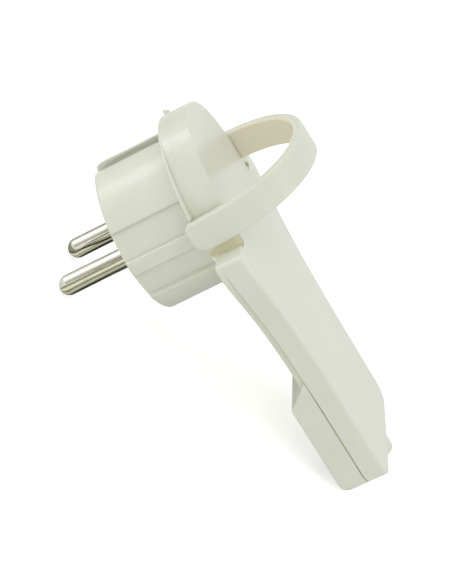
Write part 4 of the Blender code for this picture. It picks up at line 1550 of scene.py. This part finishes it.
@dataclass
class Screws(Assembly):
    """Slotted pan-head screws of the cover, the terminals, the clamp and the earth strip."""

    head_radius: float = 2.6
    head_height: float = 1.7
    head_edge: float = 0.75
    slot_width: float = 0.7
    slot_depth: float = 0.8
    slot_reach: float = 4.0
    neck: float = 0.8
    thread_pitch: float = 0.7
    thread_depth: float = 0.18
    point: float = 0.35
    terminal_length: float = 4.2
    earth_length: float = 5.0
    clamp_bar: float = 1.4
    clamp_tip_gap: float = 0.8
    washer: float = 0.6

    def profile(self, length: float) -> Outline:
        """Half section of a screw: domed head, plain neck and thread rings.

        Args:
            length: Length under the head.

        Returns:
            Points from the top of the head to the tip.
        """
        radius = self.sizes.screw_radius
        dome = (self.head_radius - self.head_edge, self.head_height - self.head_edge)
        points = [(0.0, self.head_height), (dome[0], self.head_height)]
        points += arc(dome, self.head_edge, 75, 0, 6)
        points += [(self.head_radius, 0.0), (radius, 0.0), (radius, -self.neck)]
        for turn in range(int((length - 2 * self.neck) / self.thread_pitch)):
            level = -self.neck - turn * self.thread_pitch
            points += [(radius - self.thread_depth, level - self.thread_pitch / 2),
                       (radius, level - self.thread_pitch)]
        return points + [(radius - self.point, -length), (0.0, -length)]

    def screw(self, node: str, place: Point3, length: float, flipped: bool = False) -> None:
        """Make one screw.

        Args:
            node: The CAD node it replaces.
            place: Where the underside of its head lies.
            length: Length under the head.
            flipped: Whether it enters from the wall side.
        """
        blank = Blank(node + "_blank", turned(node + "_blank", self.profile(length), 48))
        half = self.slot_width / 2
        blank.cut(block("slot", (-self.slot_reach, -half, self.head_height - self.slot_depth),
                        (self.slot_reach, half, self.head_height + self.sizes.overlap)))
        turn = Matrix.Rotation(math.pi if flipped else 0.0, 4, "X")
        self.shop.deliver(blank, "slotted_" + node, node, self.shop.steel, Slot.STEEL,
                          Matrix.Translation(place) @ turn)

    def build(self, terminal_top: float) -> None:
        """Make all eight screws.

        Args:
            terminal_top: Height of the pins' terminal heads.
        """
        sizes = self.sizes
        tip = sizes.cover_roof - sizes.boss_roof
        for tag, place in sizes.cover_screws.items():
            face = -sizes.body_depth if tag == "middle" else -sizes.block_depth
            seat = face + sizes.sink_depth - sizes.gap
            self.screw(f"cover_screw_{tag}", (*place, seat), tip - seat, flipped=True)
        seat = terminal_top + sizes.gap
        clamp_seat = sizes.clamp_post_top + self.clamp_bar + 2 * sizes.gap
        for side in Side:
            self.screw(f"terminal_screw_{side.word}", (side.value * sizes.pin_x, 0.0, seat),
                       self.terminal_length)
            self.screw(f"clamp_screw_{side.word}",
                       (*sizes.beside(side, sizes.clamp_screw), clamp_seat),
                       clamp_seat - sizes.block_floor - self.clamp_tip_gap)
        seat = -sizes.bridge_back + self.washer + 2 * sizes.gap
        self.screw("earth_screw", (0.0, sizes.earth_screw_y, seat), self.earth_length)


@dataclass
class EarthStrip(Assembly):
    """One bent strip: two side contacts joined by a bridge with an eyelet round the post."""

    width: float = 2.8
    bow: float = 0.35
    end: float = 17.0
    bend: float = 1.0
    leg_steps: int = 24
    eyelet: float = 5.0
    eyelet_pad: float = 0.1
    hole_share: float = 0.6

    def path(self) -> Outline:
        """Middle line of the strip in (y, z): a leg, the bridge and the other leg.

        Returns:
            The points in order.
        """
        half = self.sizes.strip_thickness / 2
        leg = self.sizes.recess_floor + self.sizes.gap + half
        corner = -self.sizes.bridge_back - half - self.bend
        side = []
        for step in range(self.leg_steps + 1):
            share = step / self.leg_steps
            side.append((leg + self.bow * math.sin(math.pi * share),
                         -self.end + (corner + self.end) * share))
        side += arc((leg - self.bend, corner), self.bend, 10, 90, 8)
        return side + [(-y, z) for y, z in reversed(side)]

    def ribbon(self) -> Outline:
        """Outline of the strip's thickness along its path.

        Returns:
            Closed outline in (y, z).
        """
        path = [Vector(point) for point in self.path()]
        left = []
        right = []
        for index, point in enumerate(path):
            along = path[min(index + 1, len(path) - 1)] - path[max(index - 1, 0)]
            aside = Vector((-along.y, along.x)).normalized() * self.sizes.strip_thickness / 2
            left.append(tuple(point + aside))
            right.append(tuple(point - aside))
        return left + right[::-1]

    def build(self) -> None:
        """Make the strip."""
        sizes = self.sizes
        strip = Blank("strip", prism("strip", self.ribbon(), -self.width / 2, self.width / 2,
                                     Axis.X))
        back = -sizes.bridge_back
        front = back - sizes.strip_thickness
        strip.join(rod("eyelet", self.eyelet, front - self.eyelet_pad, back + self.eyelet_pad))
        front, back = front - sizes.overlap, back + sizes.overlap
        strip.cut(rod("post_hole", sizes.post_radius + sizes.gap, front, back),
                  rod("earth_hole", sizes.screw_radius * self.hole_share, front, back,
                      (0.0, sizes.earth_screw_y), sides=32))
        self.shop.deliver(strip, "earth_strip", "earth_bracket", self.shop.strip, Slot.NICKEL)


@dataclass
class InnerParts(Assembly):
    """Earth nut and washer and the cable clamp bar, which keep their CAD shapes."""

    def build(self) -> None:
        """Put finishes on the CAD nodes that stay."""
        self.shop.refinish("earth_washer", self.shop.brass)
        self.shop.refinish("earth_nut", self.shop.brass)
        self.shop.refinish("cable_clamp_bar", self.shop.ivory)


# Studio.


@dataclass(frozen=True)
class SoftLamp:
    """One large soft lamp, aimed at the object."""

    name: str
    away: Point3
    distance: float
    size: float
    power: float

    def build(self, target: Vector) -> None:
        """Hang the lamp.

        Args:
            target: Point the lamp is aimed at.
        """
        data = bpy.data.lights.new(self.name, "AREA")
        data.shape = "DISK"
        data.size = self.size
        data.energy = self.power
        lamp = placed(self.name, data)
        way = Vector(self.away).normalized()
        lamp.location = target + way * self.distance
        lamp.rotation_mode = "QUATERNION"
        lamp.rotation_quaternion = (-way).to_track_quat("-Z", "Y")


@dataclass
class MirrorCards:
    """Grey cards that only mirrors see: they give the round pins their long streaks.

    A ray from the camera leaves a pin on a cone round the pin's axis, so every streak has one
    angle round that axis. Each card covers a span of those angles, given with its brightness:
    above the table it stands far away and parallel to the pins, and below it lies on the table.
    """

    plug: PlugFrame
    pin_x: float
    lean: float
    above: tuple[Card, ...] = (
        (24.0, 50.0, 0.36), (108.0, 120.0, 0.70), (120.0, 132.0, 0.44), (132.0, 147.0, 0.24))
    below: tuple[Card, ...] = (
        (148.0, 155.0, 0.22), (155.0, 165.0, 0.27), (165.0, 176.0, 0.60), (176.0, 188.0, 0.95),
        (188.0, 200.0, 0.62), (200.0, 212.0, 0.18), (212.0, 225.0, 0.44), (225.0, 239.0, 0.64),
        (239.0, 255.0, 0.22), (255.0, 340.0, 0.03), (340.0, 362.0, 0.08), (362.0, 388.0, 0.30))
    distance: float = 320.0
    warmth: float = 0.80
    span: tuple[float, float] = (-330.0, 120.0)
    pin_base: float = -16.0
    split: float = -3.0
    farthest: float = 1.5
    level: float = -0.001
    lifts: Point = (0.0001, 0.0003)

    def material(self, name: str, grey: float) -> bpy.types.Material:
        """Plain grey card.

        Args:
            name: Name of the material.
            grey: Its brightness.

        Returns:
            The material.
        """
        sheet = ShaderSheet(name)
        sheet.show(sheet.node("ShaderNodeEmission", None,
                              {"Color": (grey, grey, grey * self.warmth), "Strength": 1.0}))
        return sheet.material

    def hang(self, name: str, corners: Sequence[Vector], grey: float) -> None:
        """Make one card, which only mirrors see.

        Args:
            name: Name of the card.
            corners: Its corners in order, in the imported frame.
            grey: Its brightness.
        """
        mesh = bpy.data.meshes.new(name)
        mesh.from_pydata([tuple(corner) for corner in corners], [],
                         [tuple(range(len(corners)))])
        mesh.materials.append(self.material(name, grey))
        card = placed(name, mesh)
        card.visible_camera = False
        card.visible_diffuse = False
        card.visible_transmission = False
        card.visible_shadow = False

    def on_table(self, x: float, angle: float) -> Vector:
        """Where a ray from the pin's base reaches the table.

        Args:
            x: Across place of the pin.
            angle: Angle of the ray round the pin, in degrees.

        Returns:
            The place on the table.
        """
        start = self.plug.point((x, 0.0, self.pin_base))
        turn = math.radians(angle)
        flat = math.sqrt(1.0 - self.lean ** 2)
        ray = self.plug.direction((flat * math.cos(turn), flat * math.sin(turn), -self.lean))
        reach = min(-start.z / min(ray.z, self.level), self.farthest)
        if x > 0.0 and ray.x < 0.0:
            reach = min(reach, (start.x - self.split * MM) / -ray.x)
        place = start + ray * reach
        return Vector((place.x, place.y, 0.0))

    def build(self) -> None:
        """Stand and lay all the cards."""
        for index, (first, last, grey) in enumerate(self.above):
            (x0, y0), (x1, y1) = arc((0.0, 0.0), self.distance, first, last, 1)
            low, high = self.span
            corners = [(x0, y0, low), (x1, y1, low), (x1, y1, high), (x0, y0, high)]
            self.hang(f"standing_card_{index}", [self.plug.point(c) for c in corners], grey)
        along = self.plug.direction((0.0, 0.0, -1.0))
        for side, height in zip(Side, self.lifts):
            x = side.value * self.pin_x
            top = self.plug.point((x, 0.0, 0.0))
            foot = top - along * (top.z / along.z)
            lift = Vector((0.0, 0.0, height))
            for index, (first, last, grey) in enumerate(self.below):
                corners = [foot, self.on_table(x, first), self.on_table(x, last)]
                self.hang(f"table_card_{side.word}_{index}", [c + lift for c in corners], grey)


@dataclass
class Studio:
    """Floor, lamps, surroundings and the camera at the photograph's viewing angle."""

    plug: PlugFrame
    pin_x: float
    eye: Point3 = (-414.28, 158.83, 112.34)
    forward: Point3 = (0.88547, -0.388, -0.25573)
    down: Point3 = (-0.46326, -0.78028, -0.42019)
    focal_pixels: float = 2011.23
    picture: tuple[int, int] = (452, 584)
    ambient: float = 0.77
    floor_half: float = 6.0
    floor_drop: float = 0.00005
    lamps: tuple[SoftLamp, ...] = (
        SoftLamp("overhead_lamp", (-0.25, 0.20, 0.95), 0.9, 0.55, 0.9),
        SoftLamp("side_lamp", (-0.72, 0.68, 0.12), 1.0, 0.45, 0.62),
        SoftLamp("back_lamp", (0.17, 0.97, 0.16), 0.8, 0.26, 0.60),
        SoftLamp("edge_lamp", (-0.24, -0.71, 0.63), 0.9, 0.14, 0.38),
    )

    def camera(self) -> None:
        """Set up the camera."""
        data = bpy.data.cameras.new("photo_camera")
        data.sensor_fit = "AUTO"
        data.sensor_width = 36.0
        data.lens = self.focal_pixels * data.sensor_width / max(self.picture)
        data.clip_start = 0.01
        data.clip_end = 20.0
        camera = placed("photo_camera", data)
        back = -self.plug.direction(self.forward)
        up = -self.plug.direction(self.down)
        right = up.cross(back).normalized()
        up = back.cross(right)
        turn = Matrix((right, up, back)).transposed().to_4x4()
        camera.matrix_world = Matrix.Translation(self.plug.point(self.eye)) @ turn
        bpy.context.scene.camera = camera

    def floor(self) -> None:
        """Lay the floor just under the plug."""
        half = self.floor_half
        mesh = bpy.data.meshes.new("table_top")
        mesh.from_pydata([(-half, -half, 0.0), (half, -half, 0.0), (half, half, 0.0),
                          (-half, half, 0.0)], [], [(0, 1, 2, 3)])
        mesh.materials.append(PaleFloor().material(self.plug))
        floor = placed("table_top", mesh)
        floor.location.z = -self.floor_drop

    def surroundings(self) -> None:
        """Even surroundings that look white to the camera and in mirrors."""
        world = bpy.data.worlds.new("studio")
        bpy.context.scene.world = world
        world.use_nodes = True
        sheet = NodeSheet(world.node_tree)
        background = sheet.tree.nodes["Background"]
        seen = sheet.ray("Is Camera Ray").larger(sheet.ray("Is Glossy Ray"))
        seen = seen.larger(sheet.ray("Is Transmission Ray"))
        sheet.feed(background.inputs["Color"], (1.0, 1.0, 1.0))
        sheet.feed(background.inputs["Strength"], seen * (1.0 - self.ambient) + self.ambient)

    def build(self) -> None:
        """Set up everything round the plug."""
        self.camera()
        self.floor()
        self.surroundings()
        low, high = CAD_BOX
        for lamp in self.lamps:
            lamp.build((low + high) / 2)
        MirrorCards(self.plug, self.pin_x, -self.forward[2]).build()
        bpy.context.scene.view_settings.view_transform = "Standard"


def main() -> None:
    """Build every sub-assembly in order."""
    logging.basicConfig(level=logging.INFO, format="%(name)s %(message)s")
    sizes = PlugSizes()
    plug = PlugFrame(frame["record"], sizes.pivot)
    nickel = Metal("bright_nickel_plate", (0.90, 0.90, 0.82), (0.78, 0.78, 0.69), 0.07,
                   (3.4, 3.4, 0.06))
    strip = Metal("nickel_plated_strip", (0.74, 0.73, 0.68), (0.62, 0.61, 0.55), 0.30,
                  (2.2, 0.5, 0.08))
    brass = Metal("turned_brass", (0.74, 0.57, 0.28), (0.60, 0.44, 0.20), 0.26, (1.2, 1.2, 3.0))
    steel = Metal("zinc_plated_steel", (0.60, 0.61, 0.62), (0.46, 0.47, 0.48), 0.28,
                  (1.4, 1.4, 2.0))
    # The ring gets the painted light on its inner side, and neither the painted seam shade nor the
    # painted light in the lug slots.
    ring_ivory = IvoryPlastic("ivory_ring_plastic", seam_share=0.0, inner_share=0.9,
                              slot_share=0.0)
    shop = Workshop(plug, sizes, IvoryPlastic().material(plug, sizes),
                    ring_ivory.material(plug, sizes),
                    *(metal.material(plug) for metal in (nickel, strip, brass, steel)))
    Studio(plug, sizes.pin_x).build()
    FrontShell(shop).build()
    BackCover(shop).build()
    PullRing(shop).build()
    pins = ContactPins(shop)
    pins.build()
    Screws(shop).build(pins.top)
    EarthStrip(shop).build()
    InnerParts(shop).build()


if __name__ == "__main__":
    main()
